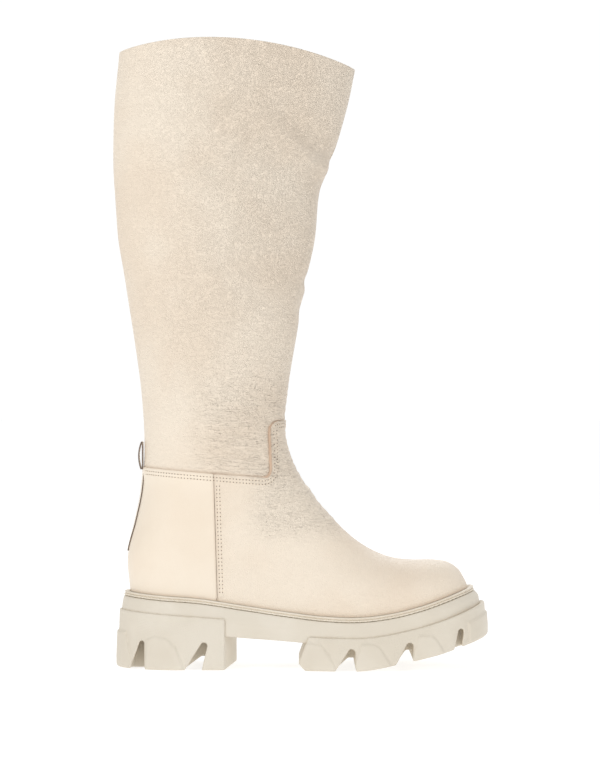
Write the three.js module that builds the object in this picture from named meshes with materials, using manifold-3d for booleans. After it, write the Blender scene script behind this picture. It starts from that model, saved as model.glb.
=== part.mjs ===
// A knee-high leather boot for the right foot, on a lugged rubber sole, with a zip up its inner side.
// Millimetres. +Z is up, the toe points along +X and the inner side of the foot faces +Y.
// The origin is on the ground, under the middle of the boot's box.
import * as THREE from "three";
import { mergeVertices } from "three/addons/utils/BufferGeometryUtils.js";
import Module from "manifold-3d";

const wasm = await Module();
wasm.setup();

// ---------------------------------------------------------------- driving dimensions

// The last, which is the shape that the upper is pulled over.
const FORE_REACH = 134.4; // from the middle of the boot to the tip of the toe, at the feather line
const ANKLE_Z = 164; // height of the ankle line, where the leg begins
const SHAFT_HEIGHT = 326.4; // from the ankle line to the back of the top line
const TOP_ARCH = 14; // how far the top line rises at its sides
const HEEL_ROUND = 42; // length over which the heel rounds off in plan
const TOE_ROUND = 54; // length over which the toe rounds off in plan
const FOOT_HALF_WIDTH = 33; // half the width of the heel, at ZIP_FOOT_Z
const LEG_HALF_WIDTH = 44; // half the width of the leg, at ZIP_TOP_Z
const ZIP_FOOT_Z = 65;
const ZIP_TOP_Z = 490;
const TOE_SWING = 7.5; // how far the tip of the toe lies towards the inner side

// The layers of the upper, from the outside in.
const LEATHER = 1.6;
const TAPE = 0.6;
const STIFFENER = 1.0;
const STIFFENER_LIFT = 4; // from the feather line up to the stiffeners' lower edge
const LINING = 1.0;
const STRAP = 1.4;
const SEAM = 0.3; // the clearance between any two pieces

// The bottom, from the foot down.
const SOCK = 3;
const BOARD_EASE = 1.8; // how far the insole board stays inside the lining
const SOCK_EASE = 1.2; // and how much further the sock liner does
const BOARD = 2;
const WELT = 3.4;
const WELT_REACH = 4.4; // how far the welt stands out from the upper
const WELT_INSIDE = 11; // how far it runs in under the upper
const MIDSOLE_REACH = 4.9; // how far the midsole stands out from the upper, at its top
const MIDSOLE_FLARE = 1.8; // and how much further at its foot
const TREAD_REACH = 8.4; // how far the treads stand out from the upper, at the sides
const TREAD_TOE_REACH = 13.4; // and at the toe
const TREAD_EDGE = 1.4; // the round on the lowest edge of the treads
const GROOVE = 9.5; // depth of the grooves that run right across the treads
const SHANK = { length: 108, width: 14, thick: 1.2, x: -38 };

// The zip, which runs straight up the widest line of the inner side.
const ZIP_X = -66.4;
const ZIP_SLOT = 11; // width of the opening in the leather
const ZIP_BOTTOM_Z = 66; // the lower end of the opening
const TAPE_REACH = 13; // from the zip's middle to the outer edge of each tape
const TAPE_GAP = 1.6; // from the zip's middle to the inner edge of each tape
const TOOTH = { pitch: 8, reach: 3.1, cross: 0.9, thick: 2.0, cord: 1.0 };
const TAPE_PLAY = 0.6; // how far the tapes may lie behind the chain's middle plane
const CHAIN_START = 8; // from the lower end of the opening to the first tooth
const CHAIN_END = 19; // from the top line down to the last tooth
const SLIDER = { length: 12, width: 9.4, plate: 1.1, post: 1.1, flange: 1.0 };
const PULLER = { length: 22, width: 7, thick: 1.4, bar: 1.5, eye: 5 };
const STOP = { length: 3.2, reach: 3.4, thick: 2.4 };
const BRIDGE = { length: 6.2, width: 2, clear: 2.3, thick: 1 };

// The trim at the back.
const STRAP_HALF_WIDTH = 7;
const STRAP_FOOT_Z = 92;
const LOOP = { foot: 158, top: 178, width: 13, thick: 1.2, bow: 2.6 };
const LINING_BACK = 0.6; // how far the linings stay back from the edges of the zip's opening
const FACING_DEPTH = 34; // how far the leather facing runs down inside the top line

// Stations from the top line to the toe: back x and z, front x and z. Each one is a straight line across the
// boot as seen from the side. The first ones end on the back of the leg, and from CORNER on they stand on the
// feather line.
const STATIONS = [
  [-144.8, 490.4, 44, 476.8],
  [-148, 452.8, 37.2, 446],
  [-149.4, 404.8, 27.5, 412],
  [-148.6, 380, 16.4, 384],
  [-145.6, 342.4, 11.6, 342.4],
  [-139.6, 304, 3.6, 304],
  [-132.6, 260, -3.4, 260],
  [-127.4, 222, -9.8, 222],
  [-124.8, 188.8, -12.6, 194],
  [-124.8, 164, -10.4, 178],
  [-127, 138, -4.6, 161],
  [-131.8, 115, 3, 147.6],
  [-137.9, 88, 11.4, 136],
  [-136, 60.4, 19.6, 125.4],
  [-112, 58.4, 27.4, 116.6],
  [-80, 56, 34.6, 109.6],
  [-45, 50.8, 42, 102.8],
  [-12, 46, 50, 97],
  [20, 42.6, 60.5, 91.2],
  [48, 42.2, 74, 86.4],
  [74, 45.4, 90, 84.6],
  [97, 51, 106, 84.6],
  [114, 56.4, 118.4, 82.6],
  [126, 60.4, 127, 76.8],
  [134.4, 63, 132.4, 68],
];
const CORNER = 13; // the station at the heel's lower corner
const LAST = STATIONS.length - 1;
const ANKLE_STATION = 9;

// How much wider than the heel the foot is on each side, along its length.
const OUTER_BULGE = [[-60, 0], [-10, 3], [46, 14], [90, 12.5], [134, 8]];
const INNER_BULGE = [[-60, 0], [-15, -3], [40, 7], [78, 14.5], [134, 9.5]];

// The sole in side view.
const HEEL_LEDGE = [[-150, 47.4], [-52, 38.8]];
const FORE_LEDGE = [[0, 26.8], [30, 26], [56, 26.6], [87, 32.2], [114, 39.6], [142, 49.6], [160, 56.8]];
const GROUND = [
  [-160, 0], [0, 0], [40, 0], [56, 1.2], [70, 3.8], [92, 8.4], [111, 12.8], [130, 18.6], [143, 22.6],
  [160, 28],
];
const WAIST_BOTTOM = [[-64, 26.6], [8, 21.4]];
const CHANNEL = [[50, -20], [50, 7.5], [72, 10.5], [118, 22], [118, -20]]; // the groove along the forepart
const CHANNEL_WIDTH = 12;
const CHANNEL_Y = 3;
const TOE_FLARE = 2.6; // how much further the midsole flares out at the toe
const BREAST = { outer: -59.4, inner: -51.6 }; // the heel's front face slants forward to the inner side
const FORE_BACK = [[6.6, 30], [-1.2, 6], [1.6, 2.6], [8, -4]]; // the rear edge of the forepart

// The path of the seam between the leg and the foot, from the back to the front.
const SEAM_CORNER = 8;
const LEG_SEAM = [[-180, 162.4], [-124.6, 159], [-67.2, 154.4], [-23, 150.6], [-24.8, 195.6], [40, 200]];
// The seam between the counter and the vamp, on the outer side.
const VAMP_SEAM = [[-68, 170], [-68, 150], [-64.8, 40]];

// ---------------------------------------------------------------- small helpers

const clamp01 = (t) => Math.min(1, Math.max(0, t));
const smooth = (a, b, t) => {
  const u = clamp01((t - a) / (b - a));
  return u * u * (3 - 2 * u);
};
const mix = (a, b, t) => a + (b - a) * t;
/** A quarter round: 0 at q = 0, rising steeply at first, and 1 from q = 1 on. */
const round = (q, power = 2) => (1 - (1 - clamp01(q)) ** power) ** (1 / power);

/** A smooth function y(x) through the given points, level beyond the ends of a flat list. */
function through(points) {
  const slope = points.map((p, i) => {
    const a = points[Math.max(0, i - 1)];
    const b = points[Math.min(points.length - 1, i + 1)];
    return (b[1] - a[1]) / (b[0] - a[0]);
  });
  return (x) => {
    let i = points.findIndex((p) => p[0] > x) - 1;
    if (i < -1) i = points.length - 2;
    i = Math.max(0, i);
    const [x0, y0] = points[i];
    const [x1, y1] = points[i + 1];
    const t = clamp01((x - x0) / (x1 - x0));
    const h = x1 - x0;
    return (
      y0 * (1 + 2 * t) * (1 - t) ** 2 +
      slope[i] * h * t * (1 - t) ** 2 +
      y1 * t * t * (3 - 2 * t) +
      slope[i + 1] * h * t * t * (t - 1)
    );
  };
}

function solidOf(geometry) {
  const bare = geometry.clone();
  for (const name of Object.keys(bare.attributes)) if (name !== "position") bare.deleteAttribute(name);
  const merged = mergeVertices(bare, 1e-4);
  return new wasm.Manifold(
    new wasm.Mesh({
      numProp: 3,
      vertProperties: new Float32Array(merged.attributes.position.array),
      triVerts: new Uint32Array(merged.index.array),
    }),
  );
}

function geometryOf(solid) {
  const mesh = solid.getMesh();
  const geometry = new THREE.BufferGeometry();
  geometry.setAttribute("position", new THREE.BufferAttribute(new Float32Array(mesh.vertProperties), 3));
  geometry.setIndex(new THREE.BufferAttribute(new Uint32Array(mesh.triVerts), 1));
  geometry.computeVertexNormals();
  return geometry;
}

/** A solid from a list of corners and a list of triangles. */
function solidFrom(corners, triangles) {
  const geometry = new THREE.BufferGeometry().setFromPoints(corners);
  geometry.setIndex(triangles);
  return solidOf(geometry);
}

const shapeOf = (points) => new THREE.Shape(points.map(([a, b]) => new THREE.Vector2(a, b)));

/** A side-view outline, in x and z, made solid from y = from to y = to. */
function sideways(shape, from, to) {
  const settings = { depth: to - from, bevelEnabled: false, curveSegments: 6 };
  const geometry = new THREE.ExtrudeGeometry(shape, settings);
  return solidOf(geometry.rotateX(Math.PI / 2).translate(0, to, 0));
}

/** A plan outline, in x and y, made solid from z = from to z = to. */
function upright(shape, from, to) {
  const geometry = new THREE.ExtrudeGeometry(shape, { depth: to - from, bevelEnabled: false });
  return solidOf(geometry.translate(0, 0, from));
}

function block(x0, x1, y0, y1, z0, z1) {
  const geometry = new THREE.BoxGeometry(x1 - x0, y1 - y0, z1 - z0);
  return solidOf(geometry.translate((x0 + x1) / 2, (y0 + y1) / 2, (z0 + z1) / 2));
}

const FAR = 400; // beyond the boot on every side

// ---------------------------------------------------------------- the last

const reach = (x) => (x > 0 ? (x * FORE_REACH) / STATIONS[LAST][0] : x);
const ANKLE_TO_TOP = STATIONS[0][1] - STATIONS[ANKLE_STATION][1];
const rise = (z) => (z > ANKLE_Z ? ANKLE_Z + ((z - ANKLE_Z) * SHAFT_HEIGHT) / ANKLE_TO_TOP : z);
/** A smooth curve through one end of the stations, from one station to another. */
function stationCurve(column, from, to) {
  const points = STATIONS.slice(from, to + 1).map((station, i) => {
    const x = from + i > ANKLE_STATION ? reach(station[column]) : station[column];
    return new THREE.Vector3(x, 0, rise(station[column + 1]));
  });
  return new THREE.CatmullRomCurve3(points, false, "centripetal");
}
const heelCurve = stationCurve(0, 0, CORNER);
const featherCurve = stationCurve(0, CORNER, LAST);
const frontCurve = stationCurve(2, 0, LAST);
/** The back or lower end of station v. */
function backAt(v) {
  return v <= CORNER ? heelCurve.getPoint(v / CORNER) : featherCurve.getPoint((v - CORNER) / (LAST - CORNER));
}
const frontAt = (v) => frontCurve.getPoint(v / LAST);
const outerBulge = through(OUTER_BULGE.map(([x, w]) => [reach(x), w]));
const innerBulge = through(INNER_BULGE.map(([x, w]) => [reach(x), w]));

/** Half the boot's width on the zip's line, which is straight. */
const lineHalfWidth = (z) =>
  FOOT_HALF_WIDTH + ((LEG_HALF_WIDTH - FOOT_HALF_WIDTH) * (z - ZIP_FOOT_Z)) / (rise(ZIP_TOP_Z) - ZIP_FOOT_Z);
/** The foot's middle line swings to the inner side towards the toe. */
const middleY = (x) => TOE_SWING * Math.max(0, x / FORE_REACH) ** 1.7;

/** The point of the last's surface on station v, at share s from back to front, on side -1 (outer) or +1
 * (inner). */
function lastPoint(v, s, side) {
  const back = backAt(v);
  const front = frontAt(v);
  const toe = backAt(LAST).lerp(frontAt(LAST), s);
  const p = back.clone().lerp(front, s);
  p.z += TOP_ARCH * 4 * s * (1 - s) * clamp01(1 - v / 2) ** 2;
  const length = back.distanceTo(front);
  const along = length / (front.x - back.x);
  const heelStart = v > CORNER ? backAt(CORNER).x : back.x;
  const backRound = mix(ZIP_X - back.x, HEEL_ROUND, smooth(8, 12, v));
  const frontRound = mix((front.x - ZIP_X) * along, length, smooth(13, 18, v));
  const low = 1 - smooth(105, 170, p.z);
  const bulge = side < 0 ? outerBulge(p.x) : innerBulge(p.x);
  const half =
    (lineHalfWidth(p.z) + bulge * low) *
    round((p.x - heelStart) / backRound) *
    round(((1 - s) * length) / frontRound, mix(2, 2.25, smooth(13, 19, v))) *
    round((toe.x - p.x) / TOE_ROUND, 2.3);
  return new THREE.Vector3(p.x, middleY(p.x) + side * half, p.z);
}

const ROWS = [
  0, 0.5, 1, 1.5, 2, 2.5, 3, 3.5, 4, 5, 6, 7, 8, 9, 10, 11, 12, 12.5, 13, 13.4, 14, 15, 16, 17, 18, 19, 20,
  21, 22, 23, 23.6, 24,
];
const HALF_COLUMNS = 5;

/** The shares along a station at which the surface has its columns: the middle one follows the zip's line. */
function columnShares(v) {
  const back = backAt(v);
  const front = frontAt(v);
  const zip = Math.max(0.1, (ZIP_X - back.x) / (front.x - back.x));
  const middle = mix(zip, 0.45, smooth(12, 16, v));
  const quarter = (i) => 1 - Math.cos((i / HALF_COLUMNS) * (Math.PI / 2));
  const shares = [];
  for (let i = 0; i < HALF_COLUMNS; i++) shares.push(middle * quarter(i));
  for (let i = HALF_COLUMNS; i >= 0; i--) shares.push(1 - (1 - middle) * quarter(i));
  return shares;
}

/** The last as a net of points and outward normals, from the outer side over the front to the inner side. */
function makeNet() {
  const points = [];
  const ids = [];
  const known = new Map();
  for (const v of ROWS) {
    const shares = columnShares(v);
    const around = [...shares.map((s) => [s, -1]), ...shares.slice(0, -1).reverse().map((s) => [s, 1])];
    ids.push(
      around.map(([s, side]) => {
        const p = lastPoint(v, s, side);
        const key = p.toArray().map((c) => Math.round(c * 1000)).join();
        if (!known.has(key)) known.set(key, points.push(p) - 1);
        return known.get(key);
      }),
    );
  }
  const triangles = [];
  for (let i = 0; i + 1 < ids.length; i++)
    for (let j = 0; j + 1 < ids[i].length; j++) {
      const [a, b, c, d] = [ids[i][j], ids[i][j + 1], ids[i + 1][j + 1], ids[i + 1][j]];
      triangles.push([a, d, c], [a, c, b]);
    }
  const sound = triangles.filter(([a, b, c]) => a !== b && b !== c && a !== c);
  const normals = points.map(() => new THREE.Vector3());
  const [ab, ac] = [new THREE.Vector3(), new THREE.Vector3()];
  for (const [a, b, c] of sound) {
    ab.subVectors(points[b], points[a]);
    ac.subVectors(points[c], points[a]);
    ab.cross(ac);
    for (const k of [a, b, c]) normals[k].add(ab);
  }
  normals.forEach((n) => n.normalize());
  return { points, triangles: sound, normals };
}
const net = makeNet();

/** Points along the feather line, from the heel to the toe, with the outward direction on each side. */
function featherLine() {
  const steps = 38;
  const points = [];
  for (let i = 0; i <= steps; i++) {
    const t = i / steps;
    const eased = mix(t, (1 - Math.cos(Math.PI * t)) / 2, 0.75);
    const v = mix(CORNER, LAST, eased);
    const [outer, inner] = [lastPoint(v, 0, -1), lastPoint(v, 0, 1)];
    points.push({ outer, inner });
  }
  const loop = [...points.map((p) => p.outer), ...points.slice(1, -1).reverse().map((p) => p.inner)];
  const outward = loop.map((p, i) => {
    const a = loop[(i + loop.length - 1) % loop.length];
    const b = loop[(i + 1) % loop.length];
    return new THREE.Vector2(b.y - a.y, a.x - b.x).normalize();
  });
  return { steps, loop, outward };
}
const feather = featherLine();

/** A slab with the boot's plan outline. Each level, from the top down, gives how far out it lies and its height
 * at a point of the feather line. */
function slab(levels) {
  const { steps, loop, outward } = feather;
  const count = loop.length;
  const corners = [];
  for (const level of levels)
    loop.forEach((p, i) => {
      const { out, z } = level(p);
      const x = p.x + outward[i].x * out;
      corners.push(new THREE.Vector3(x, p.y + outward[i].y * out, typeof z === "function" ? z(x) : z));
    });
  const triangles = [];
  for (let k = 0; k + 1 < levels.length; k++)
    for (let i = 0; i < count; i++) {
      const j = (i + 1) % count;
      const [u0, u1, d0, d1] = [k * count + i, k * count + j, (k + 1) * count + i, (k + 1) * count + j];
      triangles.push(d0, d1, u1, d0, u1, u0);
    }
  const base = (levels.length - 1) * count;
  for (let i = 0; i < steps; i++) {
    const [a, b, c, d] = [i, i + 1, (count - i - 1) % count, (count - i) % count];
    for (const [p, q, r] of [[a, b, c], [a, c, d]])
      if (p !== q && q !== r && p !== r) triangles.push(p, q, r, base + p, base + r, base + q);
  }
  return solidFrom(corners, triangles);
}

const featherPoints = featherCurve.getPoints(60);
/** Height of the feather line at x, going on straight past its ends. */
function featherZ(x) {
  const i = Math.min(featherPoints.length - 2, Math.max(0, featherPoints.findIndex((p) => p.x > x) - 1));
  const [a, b] = x > featherPoints.at(-1).x ? featherPoints.slice(-2) : featherPoints.slice(i, i + 2);
  return mix(a.z, b.z, (x - a.x) / (b.x - a.x));
}
/** A level of a slab that runs beside the feather line, the given distances out and up from it. */
const beside = (out, height) => () => ({ out, z: (x) => featherZ(x) + height });
/** Everything lower than the given height above the feather line, near the upper. */
const lowerThan = (height) => slab([beside(FAR / 20, height), beside(FAR / 20, -FAR / 10)]);

/** The layer of the upper between two depths below the last's surface, down to the given height above the
 * feather line. A depth may be a function of the point. */
function layer(outerDepth, innerDepth, lift = 0) {
  const sunk = (depth) =>
    net.points.map((p, k) => {
      const d = typeof depth === "function" ? depth(p) : depth;
      return p.clone().addScaledVector(net.normals[k], -d);
    });
  const corners = [...sunk(outerDepth), ...sunk(innerDepth)];
  const n = net.points.length;
  const edges = new Map();
  const triangles = [];
  for (const [a, b, c] of net.triangles) {
    triangles.push(a, b, c, n + a, n + c, n + b);
    for (const [p, q] of [[a, b], [b, c], [c, a]])
      if (!edges.delete(`${q},${p}`)) edges.set(`${p},${q}`, [p, q]);
  }
  for (const [p, q] of edges.values()) triangles.push(q, p, n + p, q, n + p, n + q);
  return solidFrom(corners, triangles).subtract(lowerThan(lift));
}

// ---------------------------------------------------------------- regions of the upper

/** The seam path moved down by the given distance, with rounded corners, closed far above or far below. */
function legSeamShape(drop, above) {
  const [a, b, c, d, e, f] = LEG_SEAM.map(([x, z]) => [x + drop * 0.6, z - drop]);
  const r = SEAM_CORNER;
  const shape = new THREE.Shape();
  shape.moveTo(...a);
  shape.lineTo(...b);
  shape.lineTo(...c);
  shape.lineTo(d[0] - r, d[1] + r * 0.08);
  shape.quadraticCurveTo(...d, d[0] - 0.3, d[1] + r);
  shape.lineTo(e[0] + 0.3, e[1] - r);
  shape.quadraticCurveTo(...e, e[0] + r, e[1] + 0.6);
  shape.lineTo(...f);
  shape.lineTo(FAR, f[1]);
  shape.lineTo(FAR, above ? FAR * 2 : -FAR);
  shape.lineTo(a[0], above ? FAR * 2 : -FAR);
  return shape;
}
const legRegion = sideways(legSeamShape(0, true), -FAR, FAR);
const footRegion = sideways(legSeamShape(SEAM, false), -FAR, FAR);
const outerSide = block(-FAR, FAR, -FAR, -SEAM / 2, -FAR, FAR * 2);
const innerSide = block(-FAR, FAR, SEAM / 2, FAR, -FAR, FAR * 2);
const innerFar = (x0, x1, z0, z1) => block(x0, x1, SEAM / 2, FAR, z0, z1);

/** Everything behind the vamp seam on the outer side, moved back by the given distance. */
const behindVampSeam = (gap) =>
  sideways(
    shapeOf([...VAMP_SEAM.map(([x, z]) => [x - gap, z]), [-FAR, VAMP_SEAM[2][1]], [-FAR, VAMP_SEAM[0][1]]]),
    -FAR,
    -SEAM / 2,
  );
const vampSide = [...VAMP_SEAM, [FAR, VAMP_SEAM[2][1]], [FAR, FAR], [VAMP_SEAM[0][0], FAR]];
const aheadOfVampSeam = sideways(shapeOf(vampSide), -FAR, SEAM);
const slot = innerFar(ZIP_X - ZIP_SLOT / 2, ZIP_X + ZIP_SLOT / 2, ZIP_BOTTOM_Z, FAR * 2);
const behindZip = innerFar(-FAR, ZIP_X - SEAM / 2, -FAR, FAR * 2).subtract(slot);
const beforeZip = innerFar(ZIP_X + SEAM / 2, FAR, -FAR, FAR * 2).subtract(slot);

// ---------------------------------------------------------------- the upper's pieces

const COUNTER_TOP_Z = 128;
const COUNTER_FRONT_X = -58;
const PUFF_BACK_X = 88;
/** 1 where the heel and the toe are stiffened, with a margin, and 0 elsewhere. */
const stiffened = (p) =>
  Math.max(
    (1 - smooth(COUNTER_TOP_Z + 8, COUNTER_TOP_Z + 26, p.z)) *
      (1 - smooth(COUNTER_FRONT_X + 12, COUNTER_FRONT_X + 34, p.x)),
    smooth(PUFF_BACK_X - 26, PUFF_BACK_X - 10, p.x) * (1 - smooth(110, 130, p.z)),
  );
const STIFFENER_DEPTH = LEATHER + SEAM + TAPE + SEAM;
const STIFFENER_ROOM = STIFFENER + 2 * SEAM;
const liningDepth = (p) => STIFFENER_DEPTH + STIFFENER_ROOM * stiffened(p);
// The upper's whole thickness at the heel and the toe.
const LINING_IN = STIFFENER_DEPTH + STIFFENER_ROOM + LINING;

function makeUpper() {
  const leather = layer(0, LEATHER);
  const leg = leather.intersect(legRegion);
  const foot = leather.intersect(footRegion);
  return {
    shaft_outer: leg.intersect(outerSide),
    shaft_inner_front: leg.intersect(beforeZip),
    shaft_inner_rear: leg.intersect(behindZip),
    vamp: foot.intersect(aheadOfVampSeam.add(beforeZip.translate(0, -SEAM, 0))),
    counter_outer: foot.intersect(behindVampSeam(SEAM)),
    counter_inner: foot.intersect(behindZip),
  };
}

function makeLinings() {
  const inner = layer(liningDepth, (p) => liningDepth(p) + LINING, BOARD + SEAM);
  const wideHalf = ZIP_SLOT / 2 + LINING_BACK;
  const wideSlot = innerFar(ZIP_X - wideHalf, ZIP_X + wideHalf, ZIP_BOTTOM_Z - 2, FAR * 2);
  const open = inner.subtract(wideSlot);
  const topLine = rise(STATIONS[0][1]);
  const facing = block(-FAR, FAR, -FAR, FAR, topLine - FACING_DEPTH, FAR * 2);
  const underFacing = block(-FAR, FAR, -FAR, FAR, -FAR, topLine - FACING_DEPTH - SEAM);
  const footLine = block(-FAR, FAR, -FAR, FAR, -FAR, ANKLE_Z - 14);
  const overFoot = block(-FAR, FAR, -FAR, FAR, ANKLE_Z - 14 + SEAM, FAR * 2);
  const heelSide = block(-FAR, -30 - SEAM, -FAR, FAR, -FAR, FAR);
  const toeSide = block(-30, FAR, -FAR, FAR, -FAR, FAR);
  return {
    top_facing: open.intersect(facing),
    shaft_lining: open.intersect(underFacing).intersect(overFoot),
    heel_lining: open.intersect(footLine).intersect(heelSide),
    vamp_lining: open.intersect(footLine).intersect(toeSide),
  };
}

function makeStiffeners() {
  const stiff = layer(STIFFENER_DEPTH, STIFFENER_DEPTH + STIFFENER, STIFFENER_LIFT);
  const counterShape = new THREE.Shape();
  counterShape.moveTo(-FAR, 0);
  counterShape.lineTo(COUNTER_FRONT_X, 0);
  counterShape.lineTo(COUNTER_FRONT_X, 84);
  counterShape.quadraticCurveTo(COUNTER_FRONT_X - 6, COUNTER_TOP_Z, -116, COUNTER_TOP_Z);
  counterShape.lineTo(-FAR, COUNTER_TOP_Z);
  const puffRegion = block(PUFF_BACK_X, FAR, -FAR, FAR, -FAR, FAR);
  const zipWay = innerFar(ZIP_X - TAPE_REACH - 1, ZIP_X + TAPE_REACH + 1, -FAR, FAR);
  return {
    heel_counter: stiff.intersect(sideways(counterShape, -FAR, FAR)).subtract(zipWay),
    toe_puff: stiff.intersect(puffRegion),
  };
}

function makeTapes() {
  const woven = layer(LEATHER + SEAM, LEATHER + SEAM + TAPE);
  const span = (x0, x1) => innerFar(x0, x1, ZIP_BOTTOM_Z - 6, FAR * 2);
  return {
    zip_tape_front: woven.intersect(span(ZIP_X + TAPE_GAP, ZIP_X + TAPE_REACH)),
    zip_tape_rear: woven.intersect(span(ZIP_X - TAPE_REACH, ZIP_X - TAPE_GAP)),
  };
}

/** The strap up the back seam, on the outside of the counter. */
function makeStrap() {
  const outside = layer(-SEAM - STRAP, -SEAM);
  const [near, foot, top] = [-100, STRAP_FOOT_Z, LOOP.foot - 1];
  const shape = shapeOf([[-FAR, foot], [near, foot], [near, top], [-FAR, top]]);
  return outside.intersect(sideways(shape, -STRAP_HALF_WIDTH, STRAP_HALF_WIDTH));
}

/** A folded loop of ribbon above the strap, with a lens-shaped eye between its two leaves. */
function makeLoop() {
  const backX = through(STATIONS.slice(5, 12).reverse().map(([x, z]) => [rise(z), x]));
  const { foot, top, width, thick, bow } = LOOP;
  const middle = (foot + top) / 2;
  const inner = Math.min(backX(foot), backX(middle), backX(top)) - SEAM;
  const shape = new THREE.Shape();
  shape.moveTo(inner, foot);
  shape.lineTo(inner, top);
  shape.lineTo(inner - thick * 2, top);
  shape.quadraticCurveTo(inner - thick * 2 - bow * 2, middle, inner - thick * 2, foot);
  const eye = new THREE.Path();
  eye.moveTo(inner - thick, foot + thick);
  eye.quadraticCurveTo(inner - thick - bow * 2, middle, inner - thick, top - thick);
  shape.holes.push(eye);
  return sideways(shape, -width / 2, width / 2);
}

// ---------------------------------------------------------------- the bottom

const heelLedge = through(HEEL_LEDGE);
const foreLedge = through(FORE_LEDGE);
const groundCurve = through(GROUND);
const ground = (x) => Math.max(0, groundCurve(x));
/** How far the toe has begun, from 0 at the ball to 1 at the tip. */
const toeShare = (p) => smooth(FORE_REACH - 50, FORE_REACH, p.x);
const treadOut = (p) => mix(TREAD_REACH, TREAD_TOE_REACH, toeShare(p));

const MIDSOLE_TOP = -SEAM - WELT - SEAM; // below the feather line
const UNDER = 200;
const heelPlan = (gap) =>
  shapeOf([
    [-FAR, -80],
    [BREAST.outer + gap, -80],
    [BREAST.outer + gap, -40],
    [BREAST.inner + gap, 40],
    [BREAST.inner + gap, 80],
    [-FAR, 80],
  ]);
const ledgePoints = (ledge, x0, x1, gap) => {
  const points = [];
  for (let i = 0; i <= 14; i++) points.push([mix(x0, x1, i / 14), ledge(mix(x0, x1, i / 14)) + gap]);
  return points;
};
/** What lies under the heel's ledge and behind its breast. */
const heelSpace = (gap) => {
  const [rear, fore] = [-160, -40];
  const ledge = [[fore, heelLedge(fore) + gap], [rear, heelLedge(rear) + gap]];
  const side = shapeOf([[rear, -UNDER], [fore, -UNDER], ...ledge]);
  return sideways(side, -FAR, FAR).intersect(upright(heelPlan(gap), -UNDER, FAR));
};
/** What lies under the forepart's ledge and ahead of its rear edge. */
const foreSpace = (gap) => {
  const rear = FORE_BACK.map(([x, z]) => [x - gap, z]);
  rear[0][1] = foreLedge(rear[0][0]) + gap;
  const ledge = ledgePoints(foreLedge, rear[0][0] + 4, FORE_REACH + 25, gap);
  const under = [[rear[3][0], -UNDER], [FORE_REACH + 25, -UNDER]];
  return sideways(shapeOf([...ledge.reverse(), ...rear, ...under]), -FAR, FAR);
};

function makeBottom() {
  const inset = -LINING_IN - BOARD_EASE;
  const welt = slab([beside(WELT_REACH, -SEAM), beside(WELT_REACH, -SEAM - WELT)]);
  const weltHole = slab([beside(-WELT_INSIDE, 20), beside(-WELT_INSIDE, -20)]);
  const filler = slab([beside(-WELT_INSIDE - SEAM, -SEAM), beside(-WELT_INSIDE - SEAM, -SEAM - WELT)]);
  const shankLine = (lift, grow) => {
    const points = [];
    for (let i = 0; i <= 8; i++) {
      const x = SHANK.x + (i / 8 - 0.5) * (SHANK.length + 2 * grow);
      points.push([x, featherZ(x) + lift]);
    }
    return points;
  };
  const shankBody = (top, bottom, grow) =>
    sideways(
      shapeOf([...shankLine(top, grow), ...shankLine(bottom, grow).reverse()]),
      -SHANK.width / 2 - grow,
      SHANK.width / 2 + grow,
    );
  return {
    sock_liner: slab([
      beside(inset - SOCK_EASE, BOARD + SEAM + SOCK),
      beside(inset - SOCK_EASE, BOARD + SEAM),
    ]),
    insole_board: slab([beside(inset, BOARD), beside(inset, 0)]),
    welt: welt.subtract(weltHole),
    cork_filler: filler.subtract(shankBody(5, -2 * SEAM - SHANK.thick, SEAM)),
    shank: shankBody(-SEAM, -SEAM - SHANK.thick, 0),
  };
}

function makeMidsole() {
  const flare = MIDSOLE_REACH + MIDSOLE_FLARE;
  const body = slab([
    beside(MIDSOLE_REACH, MIDSOLE_TOP),
    (p) => ({
      out: flare + TOE_FLARE * toeShare(p),
      z: (x) => Math.min(foreLedge(Math.max(0, x)), p.z - 9) - 4,
    }),
    (p) => ({ out: mix(flare, flare + 2.6, toeShare(p)), z: 10 }),
  ]);
  const [waistRear, waistFore] = WAIST_BOTTOM;
  const waistLine = [[-FAR, waistRear[1]], waistRear, waistFore, [FAR, waistFore[1]]];
  const waistSide = [...waistLine, [FAR, FAR], [-FAR, FAR]];
  const waist = sideways(shapeOf(waistSide), -FAR, FAR);
  return body.intersect(waist).subtract(heelSpace(SEAM)).subtract(foreSpace(SEAM));
}

/** A notch in side view: a slot with a round top at (x, z), from x0 to x1 at the ground. */
function notchShape({ x0, x1, x, z, r }) {
  const lean = Math.atan2(x - (x0 + x1) / 2, z);
  const shape = new THREE.Shape();
  shape.moveTo(x0, -20);
  shape.lineTo(x0, 0);
  shape.absarc(x, z, r, Math.PI - lean * 0.6, 0 - lean * 0.6, true);
  shape.lineTo(x1, 0);
  shape.lineTo(x1, -20);
  return shape;
}

const FORE_NOTCHES = [
  { x0: 27.5, x1: 43.5, x: 40.4, z: 14.9, r: 2.9, across: true, inner: 36 },
  { x0: 72.5, x1: 88, x: 86, z: 19.6, r: 2.9, across: true, inner: 34 },
  { x0: 118, x1: 125, x: 126.8, z: 30.2, r: 2.2, across: false, inner: 22 },
];
const HEEL_NOTCHES = [
  { x0: -134.5, x1: -123, x: -125, z: 21, r: 1.9, across: false, inner: 12 },
  { x0: -91, x1: -77.6, x: -75.8, z: 19.4, r: 2.7, across: true, inner: 22 },
];
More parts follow.
